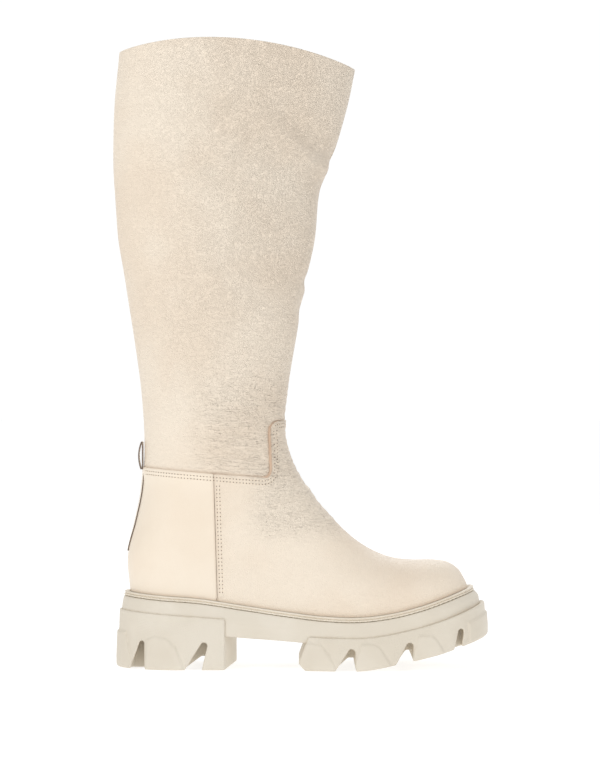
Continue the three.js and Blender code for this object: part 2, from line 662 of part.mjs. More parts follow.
/** A tread: the slab between its ledge and the ground, with notches between its lugs. */
function makeTread(space, ledge, notches) {
  const body = slab([
    (p) => ({ out: treadOut(p) - 0.8, z: 70 }),
    (p) => ({ out: treadOut(p), z: (x) => ledge(x) - 1.2 }),
    (p) => ({ out: treadOut(p) + 1.3, z: (x) => ground(x) + 8 }),
    (p) => ({ out: treadOut(p) + 1.2, z: (x) => ground(x) + TREAD_EDGE }),
    (p) => ({ out: treadOut(p) + 1.2 - TREAD_EDGE, z: (x) => ground(x) }),
  ]);
  let tread = body.intersect(space);
  for (const notch of notches) {
    const shape = notchShape(notch);
    const cut = (y0, y1) => sideways(shape, y0, y1);
    tread = tread.subtract(cut(-FAR, -notch.inner)).subtract(cut(notch.inner, FAR));
    if (notch.across) {
      const level = ground((notch.x0 + notch.x1) / 2) + GROOVE;
      const below = block(-FAR, FAR, -FAR, FAR, -FAR, level);
      const shallow = cut(-notch.inner - 1, notch.inner + 1).intersect(below);
      tread = tread.subtract(shallow);
    }
  }
  return tread;
}

function makeTreads() {
  const half = CHANNEL_WIDTH / 2;
  const foreChannel = sideways(shapeOf(CHANNEL), CHANNEL_Y - half, CHANNEL_Y + half);
  return {
    heel_tread: makeTread(heelSpace(0), heelLedge, HEEL_NOTCHES),
    forepart_tread: makeTread(foreSpace(0), foreLedge, FORE_NOTCHES).subtract(foreChannel),
  };
}

// ---------------------------------------------------------------- the zip

const ZIP_SLOPE = (LEG_HALF_WIDTH - FOOT_HALF_WIDTH) / (rise(ZIP_TOP_Z) - ZIP_FOOT_Z);
const ZIP_TILT = Math.atan(ZIP_SLOPE);
const topLineZ = lastPoint(0, columnShares(0)[HALF_COLUMNS], 1).z;
const ZIP_LENGTH = (topLineZ - ZIP_BOTTOM_Z) / Math.cos(ZIP_TILT);
const CHAIN_DEPTH = LEATHER + SEAM + TAPE / 2; // the chain is centred on the tapes

/** One row of teeth on its cord, in the zip's own frame: x across, y outwards and z up. */
function teethRow(side, shift) {
  const { pitch, reach, cross, thick, cord } = TOOTH;
  const [z0, z1] = [CHAIN_START, ZIP_LENGTH - CHAIN_END];
  const half = pitch / 4 - SEAM / 2;
  const [outer, inner] = [side * reach, side * (reach - cord)];
  const points = [[outer, z0], [inner, z0]];
  for (let z = z0 + pitch / 4 + shift; z + half < z1; z += pitch)
    points.push([inner, z - half], [-side * cross, z - half], [-side * cross, z + half], [inner, z + half]);
  points.push([inner, z1], [outer, z1]);
  return sideways(shapeOf(points), -thick / 2, thick / 2).subtract(tapesAround(z0 - 1, z1 + 1));
}

/** The part of the tapes that lies between two heights of the zip, with a clearance round it. */
function tapesAround(z0, z1) {
  const [back, front] = [-TAPE / 2 - SEAM - TAPE_PLAY, TAPE / 2 + SEAM];
  const rear = block(-FAR, SEAM - TAPE_GAP, back, front, z0, z1);
  return rear.add(block(TAPE_GAP - SEAM, FAR, back, front, z0, z1));
}

/** A metal stop that grips the tapes' inner edges, from x0 to x1 and from z0 to z1. */
function makeStop(x0, x1, z0, z1) {
  const body = block(x0, x1, -STOP.thick / 2 - TAPE_PLAY, STOP.thick / 2, z0, z1);
  return body.subtract(tapesAround(z0 - 1, z1 + 1));
}

function makeSlider() {
  const { length, width, plate, post, flange } = SLIDER;
  const room = TOOTH.thick / 2 + 0.35;
  const half = width / 2;
  const right = [[half - 1.2, 0], [half, length * 0.45], [half, length - 2], [half - 2.2, length]];
  const plan = shapeOf([...right, ...right.map(([x, z]) => [-x, z]).reverse()]);
  const body = sideways(plan, -room - plate, room + plate);
  const channel = block(-half + flange, half - flange, -room, room, -1, length + 1);
  const tapeWay = block(-FAR, FAR, -1.25, 0.75, -1, length + 1);
  const [tip, shoulder, end] = [length * 0.42, length * 0.66, length - 0.8];
  const wedge = shapeOf([[0, tip], [post, shoulder], [post, end], [-post, end], [-post, shoulder]]);
  const divider = sideways(wedge, -room - 0.2, room + 0.2);
  const shell = body.subtract(channel).subtract(tapeWay).add(divider);
  const face = room + plate;
  const foot = length / 2 - BRIDGE.length / 2;
  const arch = shapeOf([
    [foot, face - 0.3],
    [foot, face + BRIDGE.clear],
    [foot + 1, face + BRIDGE.clear + BRIDGE.thick],
    [foot + BRIDGE.length - 1, face + BRIDGE.clear + BRIDGE.thick],
    [foot + BRIDGE.length, face + BRIDGE.clear],
    [foot + BRIDGE.length, face - 0.3],
    [foot + BRIDGE.length - 1.2, face - 0.3],
    [foot + BRIDGE.length - 1.2, face + BRIDGE.clear],
    [foot + 1.2, face + BRIDGE.clear],
    [foot + 1.2, face - 0.3],
  ]);
  const bridge = new THREE.ExtrudeGeometry(arch, { depth: BRIDGE.width, bevelEnabled: false });
  bridge.rotateY(-Math.PI / 2).translate(BRIDGE.width / 2, 0, 0);
  return shell.add(solidOf(bridge));
}

/** The puller, hanging from its bar, which is at its own origin. */
function makePuller() {
  const { length, width, thick, bar, eye } = PULLER;
  const half = width / 2;
  const right = [[half, bar / 2], [half, 2 - length], [half - 1.6, -length]];
  const outline = shapeOf([...right, ...right.map(([x, z]) => [-x, z]).reverse()]);
  const [eyeHalf, eyeTop, eyeFoot] = [half - 1.3, -bar / 2, -eye - bar / 2];
  const hole = shapeOf([[-eyeHalf, eyeTop], [-eyeHalf, eyeFoot], [eyeHalf, eyeFoot], [eyeHalf, eyeTop]]);
  outline.holes.push(hole);
  return sideways(outline, -thick / 2, thick / 2);
}

/** A flap of soft leather behind the zip, sewn to the lining on its rear side. */
function makeGuard() {
  const rest = LEATHER + SEAM + TAPE + SEAM + LINING + SEAM;
  const clear = CHAIN_DEPTH + TOOTH.thick / 2 + 0.35 + SLIDER.plate + 0.5;
  const depth = (p) => mix(rest, clear, smooth(ZIP_X - 13, ZIP_X - 7, p.x)) + STIFFENER_ROOM * stiffened(p);
  const soft = layer(depth, (p) => depth(p) + 0.9);
  return soft.intersect(innerFar(ZIP_X - 17, ZIP_X + 12, ZIP_BOTTOM_Z + 4, topLineZ - 6));
}

// ---------------------------------------------------------------- materials

function finish(color, roughness, metalness = 0) {
  return new THREE.MeshStandardMaterial({ color, roughness, metalness });
}
const GRAIN = finish(0xf0e2cd, 0.55);
const SMOOTH_LEATHER = finish(0xf2e4d0, 0.45);
const LINING_LEATHER = finish(0xe6d5ba, 0.7);
const EDGE = finish(0x8a7765, 0.5);
const RUBBER = finish(0xe0d7c4, 0.6);
const WELT_RUBBER = finish(0xe9dcc4, 0.55);
const FIBRE = finish(0xb59a72, 0.85);
const CORK = finish(0xa97f50, 0.9);
const STEEL = finish(0xb8bcc0, 0.35, 1);
const WOVEN = finish(0xe9dcc6, 0.85);
const BRASS = finish(0xcbb58a, 0.3, 1);

const FINISHES = {
  shaft_outer: GRAIN,
  shaft_inner_front: GRAIN,
  shaft_inner_rear: GRAIN,
  vamp: GRAIN,
  counter_outer: SMOOTH_LEATHER,
  counter_inner: SMOOTH_LEATHER,
  back_strap: EDGE,
  pull_loop: EDGE,
  top_facing: LINING_LEATHER,
  shaft_lining: LINING_LEATHER,
  heel_lining: LINING_LEATHER,
  vamp_lining: LINING_LEATHER,
  heel_counter: FIBRE,
  toe_puff: FIBRE,
  sock_liner: LINING_LEATHER,
  insole_board: FIBRE,
  shank: STEEL,
  cork_filler: CORK,
  welt: WELT_RUBBER,
  midsole: RUBBER,
  heel_tread: RUBBER,
  forepart_tread: RUBBER,
  zip_tape_front: WOVEN,
  zip_tape_rear: WOVEN,
  zip_guard: LINING_LEATHER,
};

// ---------------------------------------------------------------- the boot

const boot = new THREE.Group();
function place(name, solid, material, parent = boot) {
  const mesh = new THREE.Mesh(geometryOf(solid), material);
  mesh.name = name;
  parent.add(mesh);
  return mesh;
}

const pieces = {
  ...makeUpper(),
  ...makeLinings(),
  ...makeStiffeners(),
  ...makeTapes(),
  ...makeBottom(),
  ...makeTreads(),
  back_strap: makeStrap(),
  pull_loop: makeLoop(),
  midsole: makeMidsole(),
  zip_guard: makeGuard(),
};
for (const [name, solid] of Object.entries(pieces)) place(name, solid, FINISHES[name]);

// The zip's own frame stands at the lower end of its opening, on the surface of the leather.
const zip = new THREE.Group();
zip.position.set(ZIP_X, lineHalfWidth(ZIP_BOTTOM_Z), ZIP_BOTTOM_Z);
zip.rotation.x = -ZIP_TILT;
boot.add(zip);
const chain = new THREE.Group();
chain.position.y = -CHAIN_DEPTH;
zip.add(chain);
place("zip_teeth_front", teethRow(1, 0), BRASS, chain);
place("zip_teeth_rear", teethRow(-1, TOOTH.pitch / 2), BRASS, chain);

const bottomStopTop = CHAIN_START - SEAM;
const { length: stopLength, reach: stopReach } = STOP;
const bottomStop = makeStop(-stopReach, stopReach, bottomStopTop - stopLength, bottomStopTop);
place("zip_bottom_stop", bottomStop, BRASS, chain);

const sliderFrame = new THREE.Group();
sliderFrame.position.z = ZIP_LENGTH - CHAIN_END - SLIDER.length * 0.4;
const topStopFoot = sliderFrame.position.z + SLIDER.length + SEAM;
const topStop = (x0, x1) => makeStop(x0, x1, topStopFoot, topStopFoot + stopLength);
place("zip_top_stop_front", topStop(SEAM, stopReach), BRASS, chain);
place("zip_top_stop_rear", topStop(-stopReach, -SEAM), BRASS, chain);
chain.add(sliderFrame);
place("zip_slider", makeSlider(), BRASS, sliderFrame);
const puller = place("zip_puller", makePuller(), BRASS, sliderFrame);
const sliderFace = TOOTH.thick / 2 + 0.35 + SLIDER.plate;
const bridgeEnd = SLIDER.length / 2 + BRIDGE.length / 2;
puller.position.set(0, sliderFace + BRIDGE.clear / 2, bridgeEnd - 1.2 - SEAM - PULLER.bar / 2);

// The box's middle goes over the origin, and its floor to z = 0.
boot.updateMatrixWorld(true);
const box = new THREE.Box3().setFromObject(boot, true);
boot.position.set(-(box.min.x + box.max.x) / 2, -(box.min.y + box.max.y) / 2, -box.min.z);

export default boot;
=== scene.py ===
"""The looks of a knee-high leather boot on a lugged rubber sole.

Everything is in metres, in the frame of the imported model: +X to the toe, +Y to the inner side of the foot
and +Z up. Sizes are kept in millimetres and turned into metres where a mesh is made.
"""
import logging
import math
from dataclasses import dataclass, field
from enum import Enum
from typing import Callable, Sequence

import bpy
import numpy as np
from mathutils import Matrix, Vector


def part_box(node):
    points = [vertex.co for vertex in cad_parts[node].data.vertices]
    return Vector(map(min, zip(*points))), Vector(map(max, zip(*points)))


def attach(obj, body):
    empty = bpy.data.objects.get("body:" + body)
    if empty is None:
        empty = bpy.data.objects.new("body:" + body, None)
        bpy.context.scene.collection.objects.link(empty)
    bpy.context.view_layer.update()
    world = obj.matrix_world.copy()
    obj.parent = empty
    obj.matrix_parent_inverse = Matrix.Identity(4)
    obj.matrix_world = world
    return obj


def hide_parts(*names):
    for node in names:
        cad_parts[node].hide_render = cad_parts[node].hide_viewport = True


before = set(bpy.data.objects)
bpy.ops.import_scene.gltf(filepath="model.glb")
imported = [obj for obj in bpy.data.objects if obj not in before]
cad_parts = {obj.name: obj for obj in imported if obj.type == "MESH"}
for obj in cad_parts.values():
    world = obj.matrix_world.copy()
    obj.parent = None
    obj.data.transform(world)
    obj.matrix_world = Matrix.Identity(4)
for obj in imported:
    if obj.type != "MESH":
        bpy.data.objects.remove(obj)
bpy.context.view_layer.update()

log = logging.getLogger("boot")
MM = 0.001
Points = np.ndarray
Curve = Callable[[Points], Points]
Colour = tuple[float, float, float, float]
Object, Material = bpy.types.Object, bpy.types.Material
Tree, Node, Socket = bpy.types.NodeTree, bpy.types.Node, bpy.types.NodeSocket


class Body(Enum):
    """The bodies of the frame that a piece can ride on."""

    BOOT = "boot"
    SLIDER = "slider"
    PULLER = "puller"


class Slot(Enum):
    """The record's material slots."""

    GRAINED = "grained_leather"
    SMOOTH = "smooth_leather"
    EDGE = "edge_leather"
    LINING = "lining_leather"
    FIBRE = "fibreboard"
    STEEL = "shank_steel"
    CORK = "cork"
    WELT = "welt_rubber"
    RUBBER = "sole_rubber"
    TAPE = "zip_tape"
    METAL = "zip_metal"


# ---- numbers


def smooth(low: float, high: float, value: Points | float) -> Points | float:
    """A soft step: 0 up to low, 1 from high on."""
    share = np.clip((value - low) / (high - low), 0.0, 1.0)
    return share * share * (3 - 2 * share)


def mix(a: Points | float, b: Points | float, share: Points | float) -> Points | float:
    """The value that lies at a share of the way from a to b."""
    return a + (b - a) * share


def rounding(share: Points, power: Points | float = 2.0) -> Points:
    """A quarter round: 0 at share 0, steep at first, and 1 from share 1 on."""
    return (1 - (1 - np.clip(share, 0.0, 1.0)) ** power) ** (1 / power)


def through(points: Sequence[tuple[float, float]]) -> Curve:
    """A smooth function through points, level at both ends of the list.

    Args:
        points: The x and y of each point, with x rising.

    Returns:
        The function y(x).
    """
    x, y = np.array(points, float).T
    before = np.concatenate([[0], np.arange(len(x) - 1)])
    after = np.concatenate([np.arange(1, len(x)), [len(x) - 1]])
    slope = (y[after] - y[before]) / (x[after] - x[before])

    def curve(at: Points) -> Points:
        i = np.clip(np.searchsorted(x, at, side="right") - 1, 0, len(x) - 2)
        wide = x[i + 1] - x[i]
        t = np.clip((at - x[i]) / wide, 0.0, 1.0)
        start = y[i] * (1 + 2 * t) * (1 - t) ** 2 + slope[i] * wide * t * (1 - t) ** 2
        return start + y[i + 1] * t * t * (3 - 2 * t) + slope[i + 1] * wide * t * t * (t - 1)

    return curve


def spline(points: Points, count: int) -> Points:
    """A centripetal Catmull-Rom curve through points.

    Args:
        points: The points, one in each row.
        count: How many samples to give for each stretch between two points.

    Returns:
        The samples from the first point to the last.
    """
    ends = [2 * points[0] - points[1]], [2 * points[-1] - points[-2]]
    p = np.concatenate([ends[0], points, ends[1]])
    gap = np.sqrt(np.linalg.norm(np.diff(p, axis=0), axis=1))
    t = np.arange(count)[:, None] / count
    out = []
    for i in range(len(points) - 1):
        a, b, c, d = p[i : i + 4]
        g0, g1, g2 = gap[i : i + 3]
        m0 = ((b - a) / g0 - (c - a) / (g0 + g1) + (c - b) / g1) * g1
        m1 = ((c - b) / g1 - (d - b) / (g1 + g2) + (d - c) / g2) * g1
        out.append(b + m0 * t + (3 * (c - b) - 2 * m0 - m1) * t**2 + (2 * (b - c) + m0 + m1) * t**3)
    return np.concatenate([*out, points[-1:]])


def reach_along(path: Points) -> Points:
    """How far along a path each of its points lies."""
    return np.concatenate([[0], np.cumsum(np.linalg.norm(np.diff(path, axis=0), axis=1))])


def pairs(a: Points | float, b: Points | float) -> Points:
    """Two lists side by side. A single number is repeated as often as needed."""
    return np.stack(np.broadcast_arrays(a, b), axis=1)


def unit(vectors: Points) -> Points:
    """The same directions with a length of 1, one in each row."""
    return vectors / np.linalg.norm(vectors, axis=1, keepdims=True)


def sample(at: Points, reach: Points, values: Points) -> Points:
    """The values, one row for each place, read off at other places along a path."""
    return np.stack([np.interp(at, reach, column) for column in values.T], axis=1)


def resample(path: Points, count: int) -> Points:
    """The same path with its points evenly spaced."""
    reach = reach_along(path)
    return sample(np.linspace(0, reach[-1], count), reach, path)


def bend(a: Points, b: Points, c: Points, count: int = 8) -> Points:
    """A quadratic curve from a to c that heads for b."""
    t = np.linspace(0, 1, count)[:, None]
    return (1 - t) ** 2 * np.array(a) + 2 * t * (1 - t) * np.array(b) + t * t * np.array(c)


def waves(x: Points, z: Points, seed: float) -> Points:
    """A slow, smooth, uneven field between about -1 and 1, for x and z in its own wavelengths."""
    a = np.sin(x * 1.0 + 1.7 * np.sin(z * 0.83 + seed) + seed)
    b = np.sin(z * 1.31 + 1.3 * np.sin(x * 0.71 - seed) + 2.1 * seed)
    c = np.sin((x + z) * 0.57 + 1.9 * np.sin((x - z) * 0.43 + seed * 0.7))
    return (a + b + c) / 3


# ---- the last

ZIP_X = -66.4
STRAP_MIDDLE = (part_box("back_strap")[0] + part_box("back_strap")[1]) / 2
SLIDER_MIDDLE = (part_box("zip_slider")[0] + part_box("zip_slider")[1]) / 2
SHIFT = np.array([SLIDER_MIDDLE.x / MM - ZIP_X, STRAP_MIDDLE.y / MM, 0.0])


@dataclass
class Last:
    """The shape that the upper is pulled over.

    A place on it is a station v, from 0 at the top line to 24 at the toe, and a turn w. The turn is -1 at the
    back, 0 at the front, reached over the outer side, and +1 at the back again, reached over the inner side.
    Below the heel's corner the back line becomes the feather line, which is the upper's lower edge.
    """

    back: tuple = (
        (-144.8, 490.4), (-148, 452.8), (-149.4, 404.8), (-148.6, 380), (-145.6, 342.4), (-139.6, 304),
        (-132.6, 260), (-127.4, 222), (-124.8, 188.8), (-124.8, 164), (-127, 138), (-131.8, 115),
        (-137.9, 88), (-136, 60.4), (-112, 58.4), (-80, 56), (-45, 50.8), (-12, 46), (20, 42.6),
        (48, 42.2), (74, 45.4), (97, 51), (114, 56.4), (126, 60.4), (134.4, 63),
    )
    front: tuple = (
        (44, 476.8), (37.2, 446), (27.5, 412), (16.4, 384), (11.6, 342.4), (3.6, 304), (-3.4, 260),
        (-9.8, 222), (-12.6, 194), (-10.4, 178), (-4.6, 161), (3, 147.6), (11.4, 136), (19.6, 125.4),
        (27.4, 116.6), (34.6, 109.6), (42, 102.8), (50, 97), (60.5, 91.2), (74, 86.4), (90, 84.6),
        (106, 84.6), (118.4, 82.6), (127, 76.8), (132.4, 68),
    )
    outer_bulge: tuple = ((-60, 0), (-10, 3), (46, 14), (90, 12.5), (134, 8))
    inner_bulge: tuple = ((-60, 0), (-15, -3), (40, 7), (78, 14.5), (134, 9.5))
    corner: int = 13
    toe: int = 24
    top_arch: float = 14
    heel_round: float = 42
    toe_round: float = 54
    foot_half: float = 33
    leg_half: float = 44
    zip_foot: float = 65
    zip_top: float = 490
    toe_swing: float = 7.5
    fore_reach: float = 134.4
    fine: int = 200

    def __post_init__(self) -> None:
        """Samples the side lines finely, once."""
        back = np.array(self.back, float)
        self.heel_line = spline(back[: self.corner + 1], self.fine)
        self.feather_line = spline(back[self.corner :], self.fine)
        self.back_line = np.concatenate([self.heel_line, self.feather_line[1:]])
        self.front_line = spline(np.array(self.front, float), self.fine)
        self.stations = np.arange(len(self.back_line)) / self.fine
        self.bulges = through(self.outer_bulge), through(self.inner_bulge)

    def side_line(self, line: Points, v: Points) -> Points:
        """The x and z of a side line at stations v."""
        return np.stack([np.interp(v, self.stations, column) for column in line.T], axis=-1)

    def middle_share(self, v: Points, back_x: Points, front_x: Points) -> Points:
        """The share along a station at which the boot is widest."""
        widest = np.maximum(0.1, (ZIP_X - back_x) / (front_x - back_x))
        return mix(widest, 0.45, smooth(12, 16, v))

    def point(self, v: Points, w: Points) -> Points:
        """The surface's points at stations v and turns w, in millimetres in the last's own frame."""
        w = np.asarray(w, float)
        v, w = np.broadcast_arrays(np.clip(v, 0, self.toe), np.where(np.abs(w) > 1, (w + 1) % 2 - 1, w))
        back = self.side_line(self.back_line, v)
        front = self.side_line(self.front_line, v)
        share = self.share_at(v, w, back[..., 0], front[..., 0])
        flat = mix(back, front, share[..., None])
        x = flat[..., 0]
        z = flat[..., 1] + self.arch(v, share)
        outer, inner = (curve(x) for curve in self.bulges)
        bulge = np.where(w < 0, outer, inner) * (1 - smooth(105, 170, z))
        middle = self.toe_swing * np.maximum(0, x / self.fore_reach) ** 1.7
        half = (self.line_half(z) + bulge) * self.plan(v, share, back, front, x)
        return np.stack([x, middle + np.where(w < 0, -half, half), z], axis=-1)

    def arch(self, v: Points, share: Points) -> Points:
        """How far the top line arches up at its middle. Two stations down it is straight."""
        return self.top_arch * 4 * share * (1 - share) * np.clip(1 - v / 2, 0, 1) ** 2

    def share_at(self, v: Points, w: Points, back_x: Points, front_x: Points) -> Points:
        """How far along its station a turn lies, from 0 at the back to 1 at the front."""
        middle = self.middle_share(v, back_x, front_x)
        ahead = 1 - np.abs(w)
        rear = middle * (1 - np.cos(ahead * np.pi))
        fore = 1 - (1 - middle) * (1 - np.cos((1 - ahead) * np.pi))
        return np.where(ahead < 0.5, rear, fore)

    def line_half(self, z: Points) -> Points:
        """Half the boot's width on the zip's line, which is straight."""
        height = self.zip_top - self.zip_foot
        return self.foot_half + (self.leg_half - self.foot_half) * (z - self.zip_foot) / height

    def plan(self, v: Points, share: Points, back: Points, front: Points, x: Points) -> Points:
        """The share of the full width that is left at a point where the plan rounds off."""
        length = np.linalg.norm(front - back, axis=-1)
        along = length / (front[..., 0] - back[..., 0])
        heel_x = self.back[self.corner][0]
        start = np.where(v > self.corner, heel_x, back[..., 0])
        back_round = mix(ZIP_X - back[..., 0], self.heel_round, smooth(8, 12, v))
        front_round = mix((front[..., 0] - ZIP_X) * along, length, smooth(13, 18, v))
        tip = mix(self.back[-1][0], self.front[-1][0], share)
        behind = rounding((x - start) / back_round)
        ahead = rounding((1 - share) * length / front_round, mix(2, 2.25, smooth(13, 19, v)))
        return behind * ahead * rounding((tip - x) / self.toe_round, 2.3)

    def normal(self, v: Points, w: Points) -> Points:
        """The outward normals at stations v and turns w."""
        dv, dw, seam = 0.03, 0.012, 0.9999
        v, w = np.broadcast_arrays(np.asarray(v, float), np.asarray(w, float))
        low = v > self.corner
        above = self.point(np.maximum(v - dv, 0), w)
        below = self.point(np.minimum(v + dv, self.toe), w)
        left = np.where(low, np.clip(w - dw, -1, seam), w - dw)
        right = np.where(low, np.clip(w + dw, -seam, seam), w + dw)
        out = np.cross(below - above, self.point(v, right) - self.point(v, left))
        return out / np.maximum(np.linalg.norm(out, axis=-1, keepdims=True), 1e-9)

    def turn_at(self, v: Points, x: Points, side: int) -> Points:
        """The turn at which station v passes x, on the outer side (-1) or the inner one (+1)."""
        back_x = self.side_line(self.back_line, v)[..., 0]
        front_x = self.side_line(self.front_line, v)[..., 0]
        share = np.clip((x - back_x) / (front_x - back_x), 0, 1)
        middle = self.middle_share(v, back_x, front_x)
        rear = np.arccos(np.clip(1 - share / middle, -1, 1)) / np.pi
        fore = 1 - np.arccos(np.clip(1 - (1 - share) / (1 - middle), -1, 1)) / np.pi
        return side * (1 - np.where(share < middle, rear, fore))

    def find(self, flat: Points, side: int) -> Points:
        """The stations and turns of points that are given by their x and z in side view.

        Args:
            flat: One x and z in each row.
            side: -1 for the outer side and +1 for the inner one.

        Returns:
            One station and turn in each row.
        """
        along = self.front_line - self.back_line
        to = flat[:, None, :] - self.back_line[None, :, :]
        off = to[..., 1] * along[None, :, 0] - to[..., 0] * along[None, :, 1]
        share = np.clip(np.sum(to * along, axis=-1) / np.sum(along * along, axis=-1), 0, 1)
        off = off - self.arch(self.stations, share) * along[None, :, 0]
        past = off > 0
        i = np.clip(past.argmax(axis=1), 1, len(self.stations) - 1)
        rows = np.arange(len(flat))
        a, b = off[rows, i - 1], off[rows, i]
        v = (i - 1 + np.clip(a / np.where(a == b, 1, a - b), 0, 1)) / self.fine
        return np.stack([v, self.turn_at(v, flat[:, 0], side)], axis=-1)


LAST = Last()


# ---- meshes

CLEAR = 90.0  # how far to each side a tool reaches that cuts right across the boot


def deselect() -> None:
    """Leaves the scene in object mode with nothing selected."""
    if bpy.context.object and bpy.context.object.mode != "OBJECT":
        bpy.ops.object.mode_set(mode="OBJECT")
    bpy.ops.object.select_all(action="DESELECT")


def take(obj: Object) -> Object:
    """Makes an object the only selected one, and the active one."""
    deselect()
    obj.select_set(True)
    bpy.context.view_layer.objects.active = obj
    return obj


def named(name: str) -> Object:
    """Names the primitive that has just been added."""
    obj = bpy.context.object
    obj.name = name
    obj.data.name = name
    return obj


def corners(obj: Object) -> Points:
    """The places of an object's vertices."""
    flat = np.empty(len(obj.data.vertices) * 3)
    obj.data.vertices.foreach_get("co", flat)
    return flat.reshape(-1, 3)


def place(obj: Object, points: Points) -> None:
    """Moves an object's vertices to the given places, in metres."""
    obj.data.vertices.foreach_set("co", np.ascontiguousarray(points, float).ravel())
    obj.data.update()


def mark(obj: Object, name: str, values: Points) -> None:
    """Gives each vertex of an object a value that its material can read."""
    attribute = obj.data.attributes.new(name, "FLOAT", "POINT")
    attribute.data.foreach_set("value", np.ascontiguousarray(values, np.float32))


def edit(obj: Object, *steps: Callable[[], object]) -> None:
    """Runs steps in edit mode on all of an object."""
    take(obj)
    bpy.ops.object.mode_set(mode="EDIT")
    bpy.ops.mesh.select_all(action="SELECT")
    for step in steps:
        step()
    bpy.ops.object.mode_set(mode="OBJECT")


def weld(obj: Object, gap: float = 1e-5) -> None:
    """Merges the vertices that lie together, and turns the faces outwards."""
    edit(
        obj,
        lambda: bpy.ops.mesh.remove_doubles(threshold=gap),
        lambda: bpy.ops.mesh.normals_make_consistent(inside=False),
    )


def modify(obj: Object, kind: str, **settings: object) -> Object:
    """Adds a modifier with its settings and applies it.

    Args:
        obj: The piece to change.
        kind: Blender's name for the modifier.
        **settings: What to set on it.

    Returns:
        The same piece.
    """
    take(obj)
    modifier = obj.modifiers.new(kind.lower(), kind)
    for name, value in settings.items():
        setattr(modifier, name, value)
    bpy.ops.object.modifier_apply(modifier=modifier.name)
    return obj


def bevel(obj: Object, width: float, angle: float = 55.0) -> Object:
    """Rounds off the edges that turn by more than an angle in degrees, by a width in millimetres."""
    limit = math.radians(angle)
    return modify(obj, "BEVEL", width=width * MM, segments=2, limit_method="ANGLE", angle_limit=limit)


def shade(obj: Object, angle: float = 180.0) -> Object:
    """Shades an object smoothly over every edge that turns by less than an angle in degrees."""
    take(obj)
    if angle >= 180:
        bpy.ops.object.shade_smooth()
    else:
        bpy.ops.object.shade_smooth_by_angle(angle=math.radians(angle))
    return obj


def grid(name: str, points: Points) -> tuple[Object, Points]:
    """A net whose corners lie at the given points, facing to the left of the way that its columns run.

    Args:
        name: The piece's name.
        points: The points in millimetres in the last's frame, as rows by columns by 3.

    Returns:
        The piece, and the place of each of its vertices in the points, row by row.
    """
    rows, columns = points.shape[:2]
    deselect()
    bpy.ops.mesh.primitive_grid_add(x_subdivisions=columns - 1, y_subdivisions=rows - 1, size=2)
    obj = named(name)
    flat = corners(obj)
    column = np.rint((flat[:, 0] + 1) / 2 * (columns - 1)).astype(int)
    row = np.rint((1 - flat[:, 1]) / 2 * (rows - 1)).astype(int)
    index = row * columns + column
    place(obj, (points.reshape(-1, 3)[index] + SHIFT) * MM)
    return obj, index


def rod(name: str, base: Points, push: tuple[float, float, float]) -> Object:
    """A solid made of a flat outline that is pushed along one way.

    Args:
        name: The piece's name.
        base: The outline's points, in millimetres in the last's frame.
        push: How far it goes along each axis, in millimetres.

    Returns:
        The closed solid.
    """
    deselect()
    bpy.ops.mesh.primitive_circle_add(vertices=len(base), radius=1, fill_type="NGON")
    obj = named(name)
    place(obj, (base + SHIFT) * MM)
    move = {"value": [step * MM for step in push]}
    edit(
        obj,
        lambda: bpy.ops.mesh.extrude_region_move(TRANSFORM_OT_translate=move),
        lambda: bpy.ops.mesh.select_all(action="SELECT"),
        lambda: bpy.ops.mesh.normals_make_consistent(inside=False),
    )
    return obj


def prism(name: str, outline: Points, y0: float = -CLEAR, y1: float = CLEAR) -> Object:
    """A solid with an outline in x and z that runs across the boot from y0 to y1."""
    return rod(name, np.insert(np.array(outline, float), 1, y0, axis=1), (0, y1 - y0, 0))


def column(name: str, outline: Points, z0: float, z1: float) -> Object:
    """A solid with an outline in x and y that stands from z0 to z1."""
    return rod(name, np.insert(np.array(outline, float), 2, z0, axis=1), (0, 0, z1 - z0))


def carve(obj: Object, tool: Object, how: str) -> Object:
    """Joins, cuts or crosses a solid with another, and drops the other.

    Args:
        obj: The solid to change.
        tool: The solid to change it with. It is removed.
        how: UNION, DIFFERENCE or INTERSECT.

    Returns:
        The changed solid.
    """
    modify(obj, "BOOLEAN", operation=how, object=tool, solver="MANIFOLD")
    bpy.data.objects.remove(tool)
    return obj


def join(name: str, objects: Sequence[Object]) -> Object:
    """Joins objects into one."""
    deselect()
    for obj in objects:
        obj.select_set(True)
    bpy.context.view_layer.objects.active = objects[0]
    if len(objects) > 1:
        bpy.ops.object.join()
    return named(name)


def link(name: str, data: bpy.types.ID) -> Object:
    """A new object in the scene with the given mesh, light or camera."""
    obj = bpy.data.objects.new(name, data)
    bpy.context.scene.collection.objects.link(obj)
    return obj


